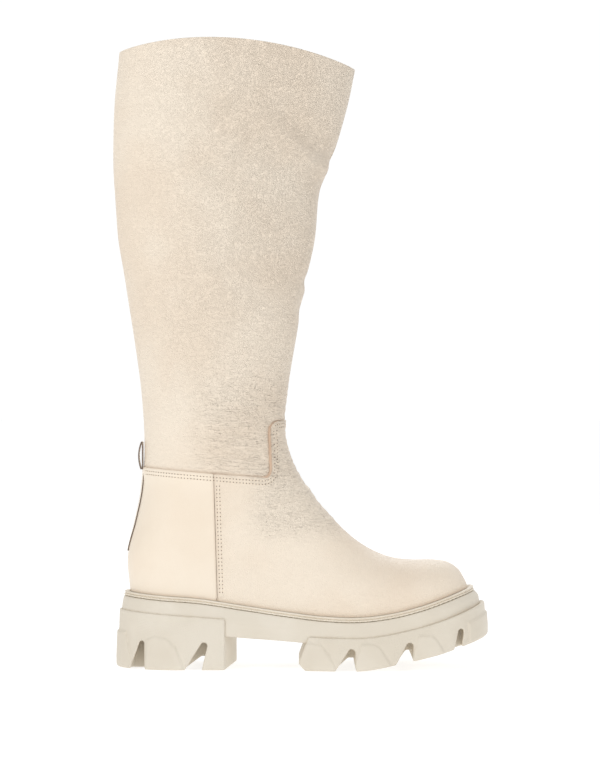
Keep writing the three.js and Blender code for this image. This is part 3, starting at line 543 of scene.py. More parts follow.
def copies(name: str, model: Object, places: Sequence[Matrix]) -> Object:
    """One piece made of copies of a model, each with its own mesh in it.

    Args:
        name: The new piece's name.
        model: What to copy. It is removed.
        places: Where each copy goes, in metres.

    Returns:
        The new piece.
    """
    base = corners(model)
    mesh = model.data
    loops = np.empty(len(mesh.loops), int)
    mesh.loops.foreach_get("vertex_index", loops)
    sizes = np.array([len(p.vertices) for p in mesh.polygons])
    skins = np.array([p.material_index for p in mesh.polygons])
    stack = np.array([np.array(m) for m in places])
    every = np.einsum("nij,kj->nki", stack[:, :3, :3], base) + stack[:, None, :3, 3]
    count = len(places)
    new = bpy.data.meshes.new(name)
    new.vertices.add(count * len(base))
    new.vertices.foreach_set("co", every.ravel())
    new.loops.add(count * len(loops))
    new.loops.foreach_set("vertex_index", (loops[None] + len(base) * np.arange(count)[:, None]).ravel())
    new.polygons.add(count * len(sizes))
    starts = np.concatenate([[0], np.cumsum(np.tile(sizes, count))[:-1]])
    new.polygons.foreach_set("loop_start", starts)
    new.polygons.foreach_set("material_index", np.tile(skins, count))
    new.update(calc_edges=True)
    for material in mesh.materials:
        new.materials.append(material)
    bpy.data.objects.remove(model)
    return shade(link(name, new))


def stand_at(origin: Points, along: Points, up: Points) -> Matrix:
    """A place whose x runs along one direction and whose z points up another."""
    along = Vector(along).normalized()
    up = Vector(up)
    up = (up - along * up.dot(along)).normalized()
    across = up.cross(along)
    turn = Matrix((along, across, up)).transposed().to_4x4()
    return Matrix.Translation(Vector(origin)) @ turn


def finish(
    obj: Object,
    slot: Slot,
    *materials: Material,
    body: Body = Body.BOOT,
    nodes: Sequence[str] = (),
) -> Object:
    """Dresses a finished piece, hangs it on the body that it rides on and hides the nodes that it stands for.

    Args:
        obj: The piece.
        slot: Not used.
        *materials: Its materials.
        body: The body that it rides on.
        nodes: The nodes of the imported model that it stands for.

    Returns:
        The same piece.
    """
    if not any(obj.data.materials):
        obj.data.materials.clear()
    for material in materials:
        obj.data.materials.append(material)
    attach(obj, body.value)
    if nodes:
        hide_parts(*nodes)
    log.info("%s: %d faces", obj.name, len(obj.data.polygons))
    return obj


# ---- finishes


class Graph:
    """Builds the nodes of one material or of one shared effect."""

    def __init__(self, tree: Tree) -> None:
        """Works on a tree."""
        self.tree = tree

    def feed(self, node: Node, inputs: dict) -> Node:
        """Links each input that is given as a socket and sets the others.

        Args:
            node: The node to feed.
            inputs: For each socket's name or number, the value to set or the socket to link.

        Returns:
            The same node.
        """
        for name, value in inputs.items():
            if isinstance(value, Socket):
                self.tree.links.new(value, node.inputs[name])
            else:
                node.inputs[name].default_value = value
        return node

    def add(self, kind: str, inputs: dict | None = None, **settings: object) -> Node:
        """Adds a node.

        Args:
            kind: The node's type, without its ShaderNode.
            inputs: For each socket's name or number, the value to set or the socket to link.
            **settings: What to set on the node itself.

        Returns:
            The node.
        """
        node = self.tree.nodes.new("ShaderNode" + kind)
        for name, value in settings.items():
            setattr(node, name, value)
        return self.feed(node, inputs or {})

    def math(self, how: str, a: object, b: object = 0.0, c: object = 0.0) -> Socket:
        """The result of a sum on two or three values."""
        return self.add("Math", {0: a, 1: b, 2: c}, operation=how).outputs[0]

    def step(self, value: object, low: object, high: object) -> Socket:
        """A soft step from 0 at low to 1 at high."""
        inputs = {"Value": value, "From Min": low, "From Max": high}
        return self.add("MapRange", inputs, interpolation_type="SMOOTHSTEP").outputs[0]

    def blend(self, share: object, a: object, b: object) -> Socket:
        """A colour that lies between two others."""
        return self.add("Mix", {0: share, 6: a, 7: b}, data_type="RGBA").outputs[2]

    def place(self, scale: tuple = (1, 1, 1), turn: tuple = (0, 0, 0)) -> Socket:
        """The object's own coordinates, stretched and turned."""
        raw = self.add("TexCoord").outputs["Object"]
        return self.add("Mapping", {"Vector": raw, "Scale": scale, "Rotation": turn}).outputs[0]

    def noise(self, at: object, scale: object, detail: float = 3.0, rough: float = 0.55) -> Socket:
        """Smooth uneven values between 0 and 1."""
        inputs = {"Vector": at, "Scale": scale, "Detail": detail, "Roughness": rough}
        return self.add("TexNoise", inputs).outputs[0]

    def own(self, name: str) -> Socket:
        """A value that the piece's vertices carry."""
        return self.add("Attribute", attribute_name=name).outputs["Fac"]

    def use(self, tree: Tree, inputs: dict) -> Node:
        """Places a shared effect."""
        return self.add("Group", inputs, node_tree=tree)

    def bump(self, height: object, strength: float, distance: float, under: object = None) -> Socket:
        """A normal that follows a height, on top of another normal where one is given."""
        inputs = {"Height": height, "Strength": strength, "Distance": distance}
        if under is not None:
            inputs["Normal"] = under
        return self.add("Bump", inputs).outputs[0]


def effect(name: str, inputs: dict[str, float | Colour], outputs: Sequence[str]) -> tuple[Graph, dict]:
    """Starts a shared effect.

    Args:
        name: The effect's name.
        inputs: Its inputs, with what each one is when nothing is given.
        outputs: Its outputs. One that ends in Colour is a colour, and the rest are values.

    Returns:
        The effect's graph, and its inputs' sockets by name.
    """
    tree = bpy.data.node_groups.new(name, "ShaderNodeTree")
    for key, value in inputs.items():
        kind = "NodeSocketColor" if isinstance(value, tuple) else "NodeSocketFloat"
        tree.interface.new_socket(name=key, in_out="INPUT", socket_type=kind).default_value = value
    for key in outputs:
        kind = "NodeSocketColor" if key.endswith("Colour") else "NodeSocketFloat"
        tree.interface.new_socket(name=key, in_out="OUTPUT", socket_type=kind)
    start = tree.nodes.new("NodeGroupInput")
    return Graph(tree), {key: start.outputs[key] for key in inputs}


def close(graph: Graph, results: dict[str, Socket]) -> Tree:
    """Ends a shared effect with its results."""
    end = graph.tree.nodes.new("NodeGroupOutput")
    for key, value in results.items():
        graph.tree.links.new(value, end.inputs[key])
    return graph.tree


def make_pebble() -> Tree:
    """Milled leather's grain: rounded pebbles of uneven size with fine valleys between them."""
    g, given = effect("pebble_grain", {"Size": 600.0, "Softness": 0.3}, ("Height", "Valley"))
    at = g.place((1.0, 1.0, 1.25))
    drift = g.add("TexNoise", {"Vector": at, "Scale": 260.0, "Detail": 2.0}).outputs["Color"]
    pushed = g.add("VectorMath", {0: drift, 1: (0.0016, 0.0016, 0.0016)}, operation="MULTIPLY").outputs[0]
    moved = g.add("VectorMath", {0: at, 1: pushed}).outputs[0]
    inputs = {"Vector": moved, "Scale": given["Size"], "Randomness": 0.9}
    edge = g.add("TexVoronoi", inputs, feature="DISTANCE_TO_EDGE").outputs["Distance"]
    dome = g.step(edge, 0.0, given["Softness"])
    fine = g.noise(at, 2600.0, 2.0)
    height = g.math("MULTIPLY_ADD", fine, 0.18, dome)
    valley = g.math("SUBTRACT", 1.0, g.step(edge, 0.0, 0.12))
    return close(g, {"Height": height, "Valley": valley})


def make_creases() -> Tree:
    """Fine creases that run nearly level round the leg and branch where they meet."""
    g, given = effect("level_creases", {"Size": 1.0, "Amount": 1.0}, ("Height", "Line"))
    at = g.place((62.0, 62.0, 280.0), (0.0, 0.16, 0.0))
    sized = g.add("VectorMath", {0: at, "Scale": given["Size"]}, operation="SCALE").outputs[0]
    broad = g.noise(sized, 1.0, 2.0, 0.5)
    ridge = g.math("ABSOLUTE", g.math("SUBTRACT", broad, 0.5))
    line = g.math("SUBTRACT", 1.0, g.step(ridge, 0.0, 0.09))
    other = g.math("ABSOLUTE", g.math("SUBTRACT", g.noise(sized, 2.3, 2.0, 0.5), 0.48))
    second = g.math("SUBTRACT", 1.0, g.step(other, 0.0, 0.07))
    both = g.math("MULTIPLY", g.math("MULTIPLY_ADD", second, 0.5, line), given["Amount"])
    return close(g, {"Height": g.math("SUBTRACT", 1.0, both), "Line": both})


def make_tone() -> Tree:
    """Cloudy colour: two tones that mix in slow patches, with a little fine mottle."""
    inputs = {"Light": (1.0, 1.0, 1.0, 1.0), "Deep": (0.8, 0.8, 0.8, 1.0), "Size": 14.0, "Mottle": 0.2}
    g, given = effect("cloudy_tone", inputs, ("Colour", "Share"))
    at = g.place()
    slow = g.step(g.noise(at, given["Size"], 3.0), 0.36, 0.68)
    fast = g.noise(at, 420.0, 2.0)
    share = g.math("MULTIPLY_ADD", g.math("SUBTRACT", fast, 0.5), given["Mottle"], slow)
    return close(g, {"Colour": g.blend(share, given["Light"], given["Deep"]), "Share": share})


def make_weave() -> Tree:
    """Woven yarns that cross at right angles, with a herringbone's slant."""
    g, given = effect("woven_yarn", {"Yarns": 1400.0}, ("Height", "Gap"))
    at = g.place((1.0, 0.35, 1.0), (0.0, math.radians(38), 0.0))
    sized = g.add("VectorMath", {0: at, "Scale": given["Yarns"]}, operation="SCALE").outputs[0]
    split = g.add("SeparateXYZ", {0: sized})
    warp = g.math("SINE", split.outputs["X"])
    weft = g.math("SINE", split.outputs["Z"])
    height = g.math("MULTIPLY_ADD", g.math("MULTIPLY", warp, weft), 0.5, 0.5)
    return close(g, {"Height": height, "Gap": g.math("SUBTRACT", 1.0, g.step(height, 0.1, 0.5))})


PEBBLE = make_pebble()
CREASES = make_creases()
TONE = make_tone()
WEAVE = make_weave()


def shader(name: str) -> tuple[Graph, Node]:
    """A new material's graph and its surface shader."""
    material = bpy.data.materials.new(name)
    material.use_nodes = True
    surface = material.node_tree.nodes["Principled BSDF"]
    return Graph(material.node_tree), surface


def settle(g: Graph, surface: Node, inputs: dict) -> Material:
    """Sets or links a surface's sockets and gives its material."""
    g.feed(surface, inputs)
    return next(m for m in bpy.data.materials if m.node_tree == g.tree)


@dataclass(frozen=True)
class LeatherFinish:
    """Dyed leather: its colours, its grain and how it shines.

    Pieces that wear it carry three values: grain, how strongly the pebbles show; crease, how strongly the
    fine creases show; and hem, which is 1 along a sewn edge. The hem colour is painted shade: it darkens
    the grain's valleys, the crease lines and the hems.
    """

    name: str
    light: Colour
    deep: Colour
    grain_size: float = 620.0
    grain_depth: float = 0.0011
    crease_depth: float = 0.0006
    roughness: float = 0.5
    hem: Colour = (0.56, 0.43, 0.32, 1.0)

    def material(self) -> Material:
        """The material itself."""
        g, surface = shader(self.name)
        tones = {"Light": self.light, "Deep": self.deep, "Size": 11.0, "Mottle": 0.25}
        tone = g.use(TONE, tones).outputs["Colour"]
        pebble = g.use(PEBBLE, {"Size": self.grain_size, "Softness": 0.34})
        grain, crease = g.own("grain"), g.own("crease")
        creases = g.use(CREASES, {"Size": 1.0, "Amount": crease})
        pits = g.math("MULTIPLY", pebble.outputs["Valley"], grain)
        shaded = g.blend(g.math("MULTIPLY", pits, 0.16), tone, self.hem)
        # Painted shade along the fine crease lines.
        lined = g.blend(g.math("MULTIPLY", creases.outputs["Line"], 0.03), shaded, self.hem)
        # Painted shade along the sewn edges, where one piece rides over another, and down where the upper
        # meets the welt.
        seam_shaded = g.blend(g.math("MULTIPLY", g.own("hem"), 0.42), lined, self.hem)
        relief = g.math("MULTIPLY", pebble.outputs["Height"], grain)
        folded = g.bump(creases.outputs["Height"], 0.8, self.crease_depth)
        normal = g.bump(relief, 0.75, self.grain_depth, folded)
        rough = g.math("MULTIPLY_ADD", pits, 0.16, self.roughness)
        return settle(g, surface, {
            "Base Color": seam_shaded, "Roughness": rough, "Normal": normal, "Specular IOR Level": 0.42,
            "Coat Weight": 0.06, "Coat Roughness": 0.4, "Sheen Weight": 0.05,
        })


@dataclass(frozen=True)
class RubberFinish:
    """Moulded rubber: its colours, its fine knurl and its mould skin."""

    name: str
    light: Colour
    deep: Colour
    roughness: float = 0.55
    knurl: float = 0.0

    def material(self) -> Material:
        """The material itself."""
        g, surface = shader(self.name)
        tone = g.use(TONE, {"Light": self.light, "Deep": self.deep, "Size": 18.0, "Mottle": 0.18})
        at = g.place()
        skin = g.noise(at, 900.0, 3.0)
        normal = g.bump(skin, 0.25, 0.0002)
        if self.knurl:
            lines = g.use(WEAVE, {"Yarns": 3600.0}).outputs["Height"]
            recessed = g.math("SUBTRACT", 1.0, g.own("pad"))
            normal = g.bump(g.math("MULTIPLY", lines, recessed), self.knurl, 0.0003, normal)
        dust = g.step(g.noise(at, 46.0, 4.0), 0.5, 0.75)
        rough = g.math("MULTIPLY_ADD", dust, 0.14, self.roughness)
        return settle(g, surface, {
            "Base Color": tone.outputs["Colour"], "Roughness": rough, "Normal": normal,
            "Specular IOR Level": 0.4,
        })


@dataclass(frozen=True)
class FibreFinish:
    """A pressed, ground or woven stuff: board, cork, thread and tape."""

    name: str
    light: Colour
    deep: Colour
    grains: float = 300.0
    depth: float = 0.0004
    roughness: float = 0.85
    woven: bool = False

    def material(self) -> Material:
        """The material itself."""
        g, surface = shader(self.name)
        at = g.place()
        cells = g.add("TexVoronoi", {"Vector": at, "Scale": self.grains, "Randomness": 1.0})
        value = g.add("RGBToBW", {0: cells.outputs["Color"]}).outputs[0]
        height = cells.outputs["Distance"]
        if self.woven:
            yarn = g.use(WEAVE, {"Yarns": self.grains})
            # On woven stuff the gaps between the yarns take the deep colour: painted shade.
            value, height = yarn.outputs["Gap"], yarn.outputs["Height"]
        cloud = g.noise(at, 30.0, 3.0)
        share = g.math("MULTIPLY_ADD", g.math("SUBTRACT", cloud, 0.5), 0.6, value)
        return settle(g, surface, {
            "Base Color": g.blend(share, self.light, self.deep), "Roughness": self.roughness,
            "Normal": g.bump(height, 0.6, self.depth), "Specular IOR Level": 0.3,
        })


@dataclass(frozen=True)
class MetalFinish:
    """Bare or plated metal with fine scratches along it."""

    name: str
    light: Colour
    deep: Colour
    roughness: float = 0.28

    def material(self) -> Material:
        """The material itself."""
        g, surface = shader(self.name)
        streaks = g.noise(g.place((1.0, 1.0, 0.06)), 3200.0, 3.0)
        stain = g.step(g.noise(g.place(), 240.0, 4.0), 0.45, 0.7)
        rough = g.math("MULTIPLY_ADD", streaks, 0.18, self.roughness)
        return settle(g, surface, {
            "Base Color": g.blend(g.math("MULTIPLY", stain, 0.5), self.light, self.deep), "Metallic": 1.0,
            "Roughness": rough, "Normal": g.bump(streaks, 0.15, 0.00008),
        })


GRAINED = LeatherFinish(
    "cream_grained_leather", (0.868, 0.765, 0.635, 1.0), (0.822, 0.702, 0.567, 1.0),
).material()
SMOOTH = LeatherFinish(
    "cream_smooth_leather", (0.885, 0.786, 0.655, 1.0), (0.845, 0.73, 0.59, 1.0),
    roughness=0.4, grain_size=900.0, grain_depth=0.00016,
).material()
EDGE_PAINT = RubberFinish(
    "dark_edge_paint", (0.17, 0.125, 0.1, 1.0), (0.1, 0.075, 0.062, 1.0), roughness=0.38,
).material()
TAN_EDGE = RubberFinish(
    "tan_edge_dye", (0.62, 0.45, 0.325, 1.0), (0.5, 0.345, 0.24, 1.0), roughness=0.5,
).material()
LINING = LeatherFinish(
    "natural_lining_leather", (0.78, 0.66, 0.5, 1.0), (0.7, 0.57, 0.42, 1.0),
    roughness=0.72, grain_size=1100.0, grain_depth=0.0002,
).material()
WELT_RUBBER = RubberFinish(
    "cream_welt_rubber", (0.79, 0.715, 0.6, 1.0), (0.74, 0.66, 0.54, 1.0), roughness=0.46,
).material()
SOLE_RUBBER = RubberFinish(
    "stone_sole_rubber", (0.745, 0.685, 0.585, 1.0), (0.7, 0.635, 0.53, 1.0), roughness=0.56,
).material()
TREAD_RUBBER = RubberFinish(
    "stone_tread_rubber", (0.745, 0.685, 0.585, 1.0), (0.695, 0.63, 0.525, 1.0), roughness=0.58, knurl=0.5,
).material()
BOARD = FibreFinish(
    "pressed_fibreboard", (0.5, 0.36, 0.21, 1.0), (0.36, 0.25, 0.14, 1.0), grains=900.0,
).material()
CORK = FibreFinish(
    "ground_cork", (0.47, 0.29, 0.14, 1.0), (0.22, 0.12, 0.055, 1.0), grains=420.0, depth=0.0006,
).material()
THREAD = FibreFinish(
    "waxed_thread", (0.84, 0.73, 0.58, 1.0), (0.7, 0.58, 0.44, 1.0),
    grains=5200.0, depth=0.0001, roughness=0.6, woven=True,
).material()
NEEDLE_HOLE = RubberFinish(
    "needle_hole_shadow", (0.26, 0.18, 0.125, 1.0), (0.2, 0.14, 0.1, 1.0), roughness=0.8,
).material()
TAPE = FibreFinish(
    "woven_zip_tape", (0.82, 0.72, 0.58, 1.0), (0.55, 0.46, 0.35, 1.0),
    grains=2600.0, depth=0.0003, woven=True,
).material()
STEEL = MetalFinish("spring_steel", (0.62, 0.63, 0.65, 1.0), (0.4, 0.41, 0.43, 1.0)).material()
BRASS = MetalFinish("pale_brass", (0.78, 0.66, 0.42, 1.0), (0.5, 0.39, 0.22, 1.0), roughness=0.24).material()


# ---- folds in the leather


@dataclass(frozen=True)
class Fold:
    """A soft ridge or valley in the upper, given in side view."""

    start: tuple[float, float]
    end: tuple[float, float]
    height: float
    width: float
    side: int = 0
    fade: float = 0.45

    def height_at(self, x: Points, z: Points, side: Points) -> Points:
        """How far the fold lifts the leather at points of the side view."""
        a, b = np.array(self.start), np.array(self.end)
        run = np.linalg.norm(b - a)
        along = ((x - a[0]) * (b - a)[0] + (z - a[1]) * (b - a)[1]) / run**2
        off = ((x - a[0]) * -(b - a)[1] + (z - a[1]) * (b - a)[0]) / run
        off = off + 2.2 * np.sin(along * 3.1 + self.height)
        ends = smooth(-self.fade * 0.4, self.fade * 0.4, along)
        ends = ends * (1 - smooth(1 - self.fade, 1 + self.fade * 0.3, along))
        here = self.height * np.exp(-((off / self.width) ** 2)) * ends
        return here if self.side == 0 else here * smooth(-0.12, 0.12, side * self.side)


@dataclass(frozen=True)
class Drape:
    """How the leather of the upper folds and creases."""

    folds: tuple[Fold, ...] = (
        Fold((24, 392), (-44, 452), 2.6, 8.0, -1, 0.6),
        Fold((30, 404), (-30, 462), -3.0, 9.0, -1, 0.7),
        Fold((22, 378), (-30, 404), -1.0, 9.0, -1, 0.6),
        Fold((20, 391), (-20, 408), 2.2, 9.0, 1, 0.6),
        Fold((24, 403), (-14, 424), -2.2, 9.0, 1, 0.6),
        Fold((9, 301), (-20, 287), 1.0, 5.0, 0, 0.6),
        Fold((11, 311), (-16, 301), -1.1, 5.0, 0, 0.6),
        Fold((7, 288), (-24, 274), -0.9, 6.0, 0, 0.6),
        Fold((-104, 154.5), (-62, 167), 0.8, 3.0, 0, 0.4),
        Fold((-100, 160), (-60, 172), -0.9, 3.4, 0, 0.4),
        Fold((-76, 164), (-30, 163), 0.7, 3.2, 0, 0.35),
        Fold((-80, 172), (-27, 170), -0.7, 3.2, 0, 0.35),
        Fold((-72, 180), (-27, 179), 0.6, 3.2, 0, 0.4),
        Fold((-84, 188), (-24, 186), -0.7, 3.6, 0, 0.4),
        Fold((-76, 197), (-18, 196), 0.55, 3.6, 0, 0.4),
        Fold((-86, 207), (-14, 204), -0.6, 4.0, 0, 0.4),
        Fold((2, 148), (-36, 136), -0.9, 3.6, 0, 0.6),
        Fold((8, 140), (-34, 128), 0.8, 3.8, 0, 0.6),
        Fold((14, 133), (-28, 119), -0.8, 4.2, 0, 0.6),
        Fold((26, 118), (-12, 104), 0.5, 5.0, 0, 0.6),
        Fold((34, 110), (0, 96), -0.5, 5.0, 0, 0.6),
    )

    def relief(self, p: Points) -> Points:
        """How far the leather stands out at surface points."""
        x, z = p[..., 0], p[..., 2]
        side = p[..., 1] / 20
        out = sum(fold.height_at(x, z, side) for fold in self.folds)
        leg = smooth(165, 230, z)
        out = out + 0.55 * leg * waves(x / 26, z / 34, 1.3) + 0.22 * leg * waves(x / 9, z / 12, 4.1)
        ankle = self.ankle(x, z)
        ripple = np.sin((z + 0.16 * x + 2.4 * waves(x / 17, z / 15, 2.2)) * 2 * np.pi / 5.6)
        out = out + 0.2 * ankle * ripple
        instep = self.instep(x, z)
        ripple = np.sin((z - 0.35 * x + 3.0 * waves(x / 20, z / 18, 0.6)) * 2 * np.pi / 7.2)
        return out + 0.16 * instep * ripple

    def ankle(self, x: Points, z: Points) -> Points:
        """Where the leg creases above the ankle, from 0 to 1."""
        return smooth(-104, -58, x) * smooth(148, 160, z) * (1 - smooth(196, 262, z))

    def instep(self, x: Points, z: Points) -> Points:
        """Where the vamp creases over the instep, from 0 to 1."""
        return smooth(-52, -20, x) * (1 - smooth(24, 52, x)) * smooth(92, 118, z) * (1 - smooth(150, 172, z))

    def grain(self, p: Points) -> Points:
        """How strongly the pebbled grain shows at surface points."""
        x, z = p[..., 0], p[..., 2]
        patches = 0.5 + 0.5 * waves(x / 30 + p[..., 1] / 40, z / 45, 3.3)
        leg = smooth(-150, 10, x + 0.12 * (z - 300)) * smooth(150, 330, z) * 0.62
        return np.clip(0.2 + leg + 0.18 * patches * smooth(120, 200, z) + 0.2 * self.instep(x, z), 0.0, 1.0)

    def crease(self, p: Points) -> Points:
        """How strongly the fine creases show at surface points."""
        x, z = p[..., 0], p[..., 2]
        return np.clip(0.9 * self.ankle(x, z) + 0.7 * self.instep(x, z) + 0.1 * smooth(200, 260, z), 0.0, 1.0)


DRAPE = Drape()


# ---- seams


@dataclass
class Seams:
    """The lines along which the upper's pieces meet, in side view."""

    leg: tuple = ((-180, 162.4), (-124.6, 159), (-67.2, 154.4), (-23, 150.6), (-24.8, 195.6), (40, 200))
    leg_corner: float = 8
    vamp: tuple = ((-68, 150), (-64.8, 40))
    slot_half: float = 5.5
    slot_foot: float = 66
    gap: float = 0.3

    def __post_init__(self) -> None:
        """Lays the leg seam once as a fine line."""
        a, b, c, d, e, f = (np.array(p, float) for p in self.leg)
        r = self.leg_corner
        low = bend(d + (-r, r * 0.08), d, d + (-0.3, r))
        high = bend(e + (0.3, -r), e, e + (r, 0.6))
        raw = np.concatenate([[a, b, c], low, high, [f]])
        self.leg_line = resample(raw, 400)

    def leg_path(self, from_x: float, to_x: float) -> Points:
        """The leg seam between two places, counted from the back."""
        line = self.leg_line
        ends = line[:, 0] >= from_x, line[:, 0] <= to_x
        start = int(np.argmax(ends[0]))
        stop = len(line) - int(np.argmax(ends[1][::-1]))
        return line[start:stop]

    def into_foot(self, x: Points, z: Points) -> Points:
        """How far a point lies inside the foot's pieces, past the leg seam. It is negative on the leg."""
        flat = np.stack([x.ravel(), z.ravel()], axis=1)
        far = np.full(len(flat), 1e9)
        for a, b in zip(self.leg_line[:-1:2], self.leg_line[2::2]):
            along = b - a
            t = np.clip(((flat - a) @ along) / (along @ along), 0, 1)
            far = np.minimum(far, np.linalg.norm(flat - a - t[:, None] * along, axis=1))
        limit = np.interp(flat[:, 0], [p[0] for p in self.leg[:4]], [p[1] for p in self.leg[:4]])
        limit = np.where(flat[:, 0] > -24, 198.0, limit)
        return np.where(flat[:, 1] < limit, far, -far).reshape(x.shape)

    def lift(self, x: Points, z: Points) -> Points:
        """How far the foot's pieces ride up on the leg's leather near the leg seam."""
        return 1.2 * (1 - smooth(1.5, 13, self.into_foot(x, z)))

    def dive(self, x: Points, z: Points) -> Points:
        """How deep the leg's leather goes under the foot's pieces."""
        return 1.5 * smooth(1.5, 13, self.into_foot(x, z))


SEAMS = Seams()


def patch(left: Points, right: Points, top: Points, bottom: Points, rows: int, columns: int) -> Points:
    """A net of stations and turns between four edges.

    Args:
        left: The edge where the net's columns start, from the top down.
        right: The edge where they end.
        top: The edge from left to right where the rows start.
        bottom: The edge where they end.
        rows: How many rows the net has.
        columns: How many columns it has.

    Returns:
        The net, rows by columns by 2.
    """
    left, right = resample(left, rows), resample(right, rows)
    top, bottom = resample(top, columns), resample(bottom, columns)
    t = np.linspace(0, 1, columns)[None, :, None]
    r = np.linspace(0, 1, rows)[:, None, None]
    across = mix(left[:, None], right[:, None], t)
    down = mix(top[None], bottom[None], r)
    flat = mix(mix(top[0], top[-1], t), mix(bottom[0], bottom[-1], t), r)
    return across + down - flat


@dataclass
class Layer:
    """One layer of the upper cut along the last: how deep it lies and how thick it is."""

    name: str
    net: Points
    thick: float
    depth: Curve | float = 0.0
    bevel: float = 0.35
    toe: bool = False
    marks: dict[str, Curve] = field(default_factory=dict)

    def build(self) -> Object:
        """Lays the net on the last, moves it to its depth and gives it its thickness."""
        v, w = self.net[..., 0], self.net[..., 1]
        p = LAST.point(v, w)
        out = LAST.normal(v, w)
        depth = self.depth(p) if callable(self.depth) else self.depth
        lifted = p + out * (DRAPE.relief(p) - depth)[..., None]
        obj, index = grid(self.name, lifted)
        for name, value in self.marks.items():
            mark(obj, name, value(p).ravel()[index])
        if self.toe:
            edit(obj, lambda: bpy.ops.mesh.remove_doubles(threshold=2e-5))
        modify(obj, "SOLIDIFY", thickness=self.thick * MM, offset=-1.0, use_even_offset=False)
        return shade(bevel(obj, self.bevel))


def leather_marks(hem: Curve) -> dict[str, Curve]:
    """The values that grained leather carries, with a piece's own hem."""
    return {"grain": DRAPE.grain, "crease": DRAPE.crease, "hem": hem}


def plain_marks(grain: float) -> dict[str, Curve]:
    """The values that smooth leather carries: an even grain, with no creases and no hem."""
    values = {"grain": grain, "crease": 0.0, "hem": 0.0}
    return {name: lambda p, value=value: np.full(p.shape[:-1], value) for name, value in values.items()}


def mark_plain(obj: Object, grain: float = 0.3) -> None:
    """Gives a piece that isn't cut along the last the values of smooth leather."""
    for name, values in plain_marks(grain).items():
        mark(obj, name, values(corners(obj)))


# ---- the upper


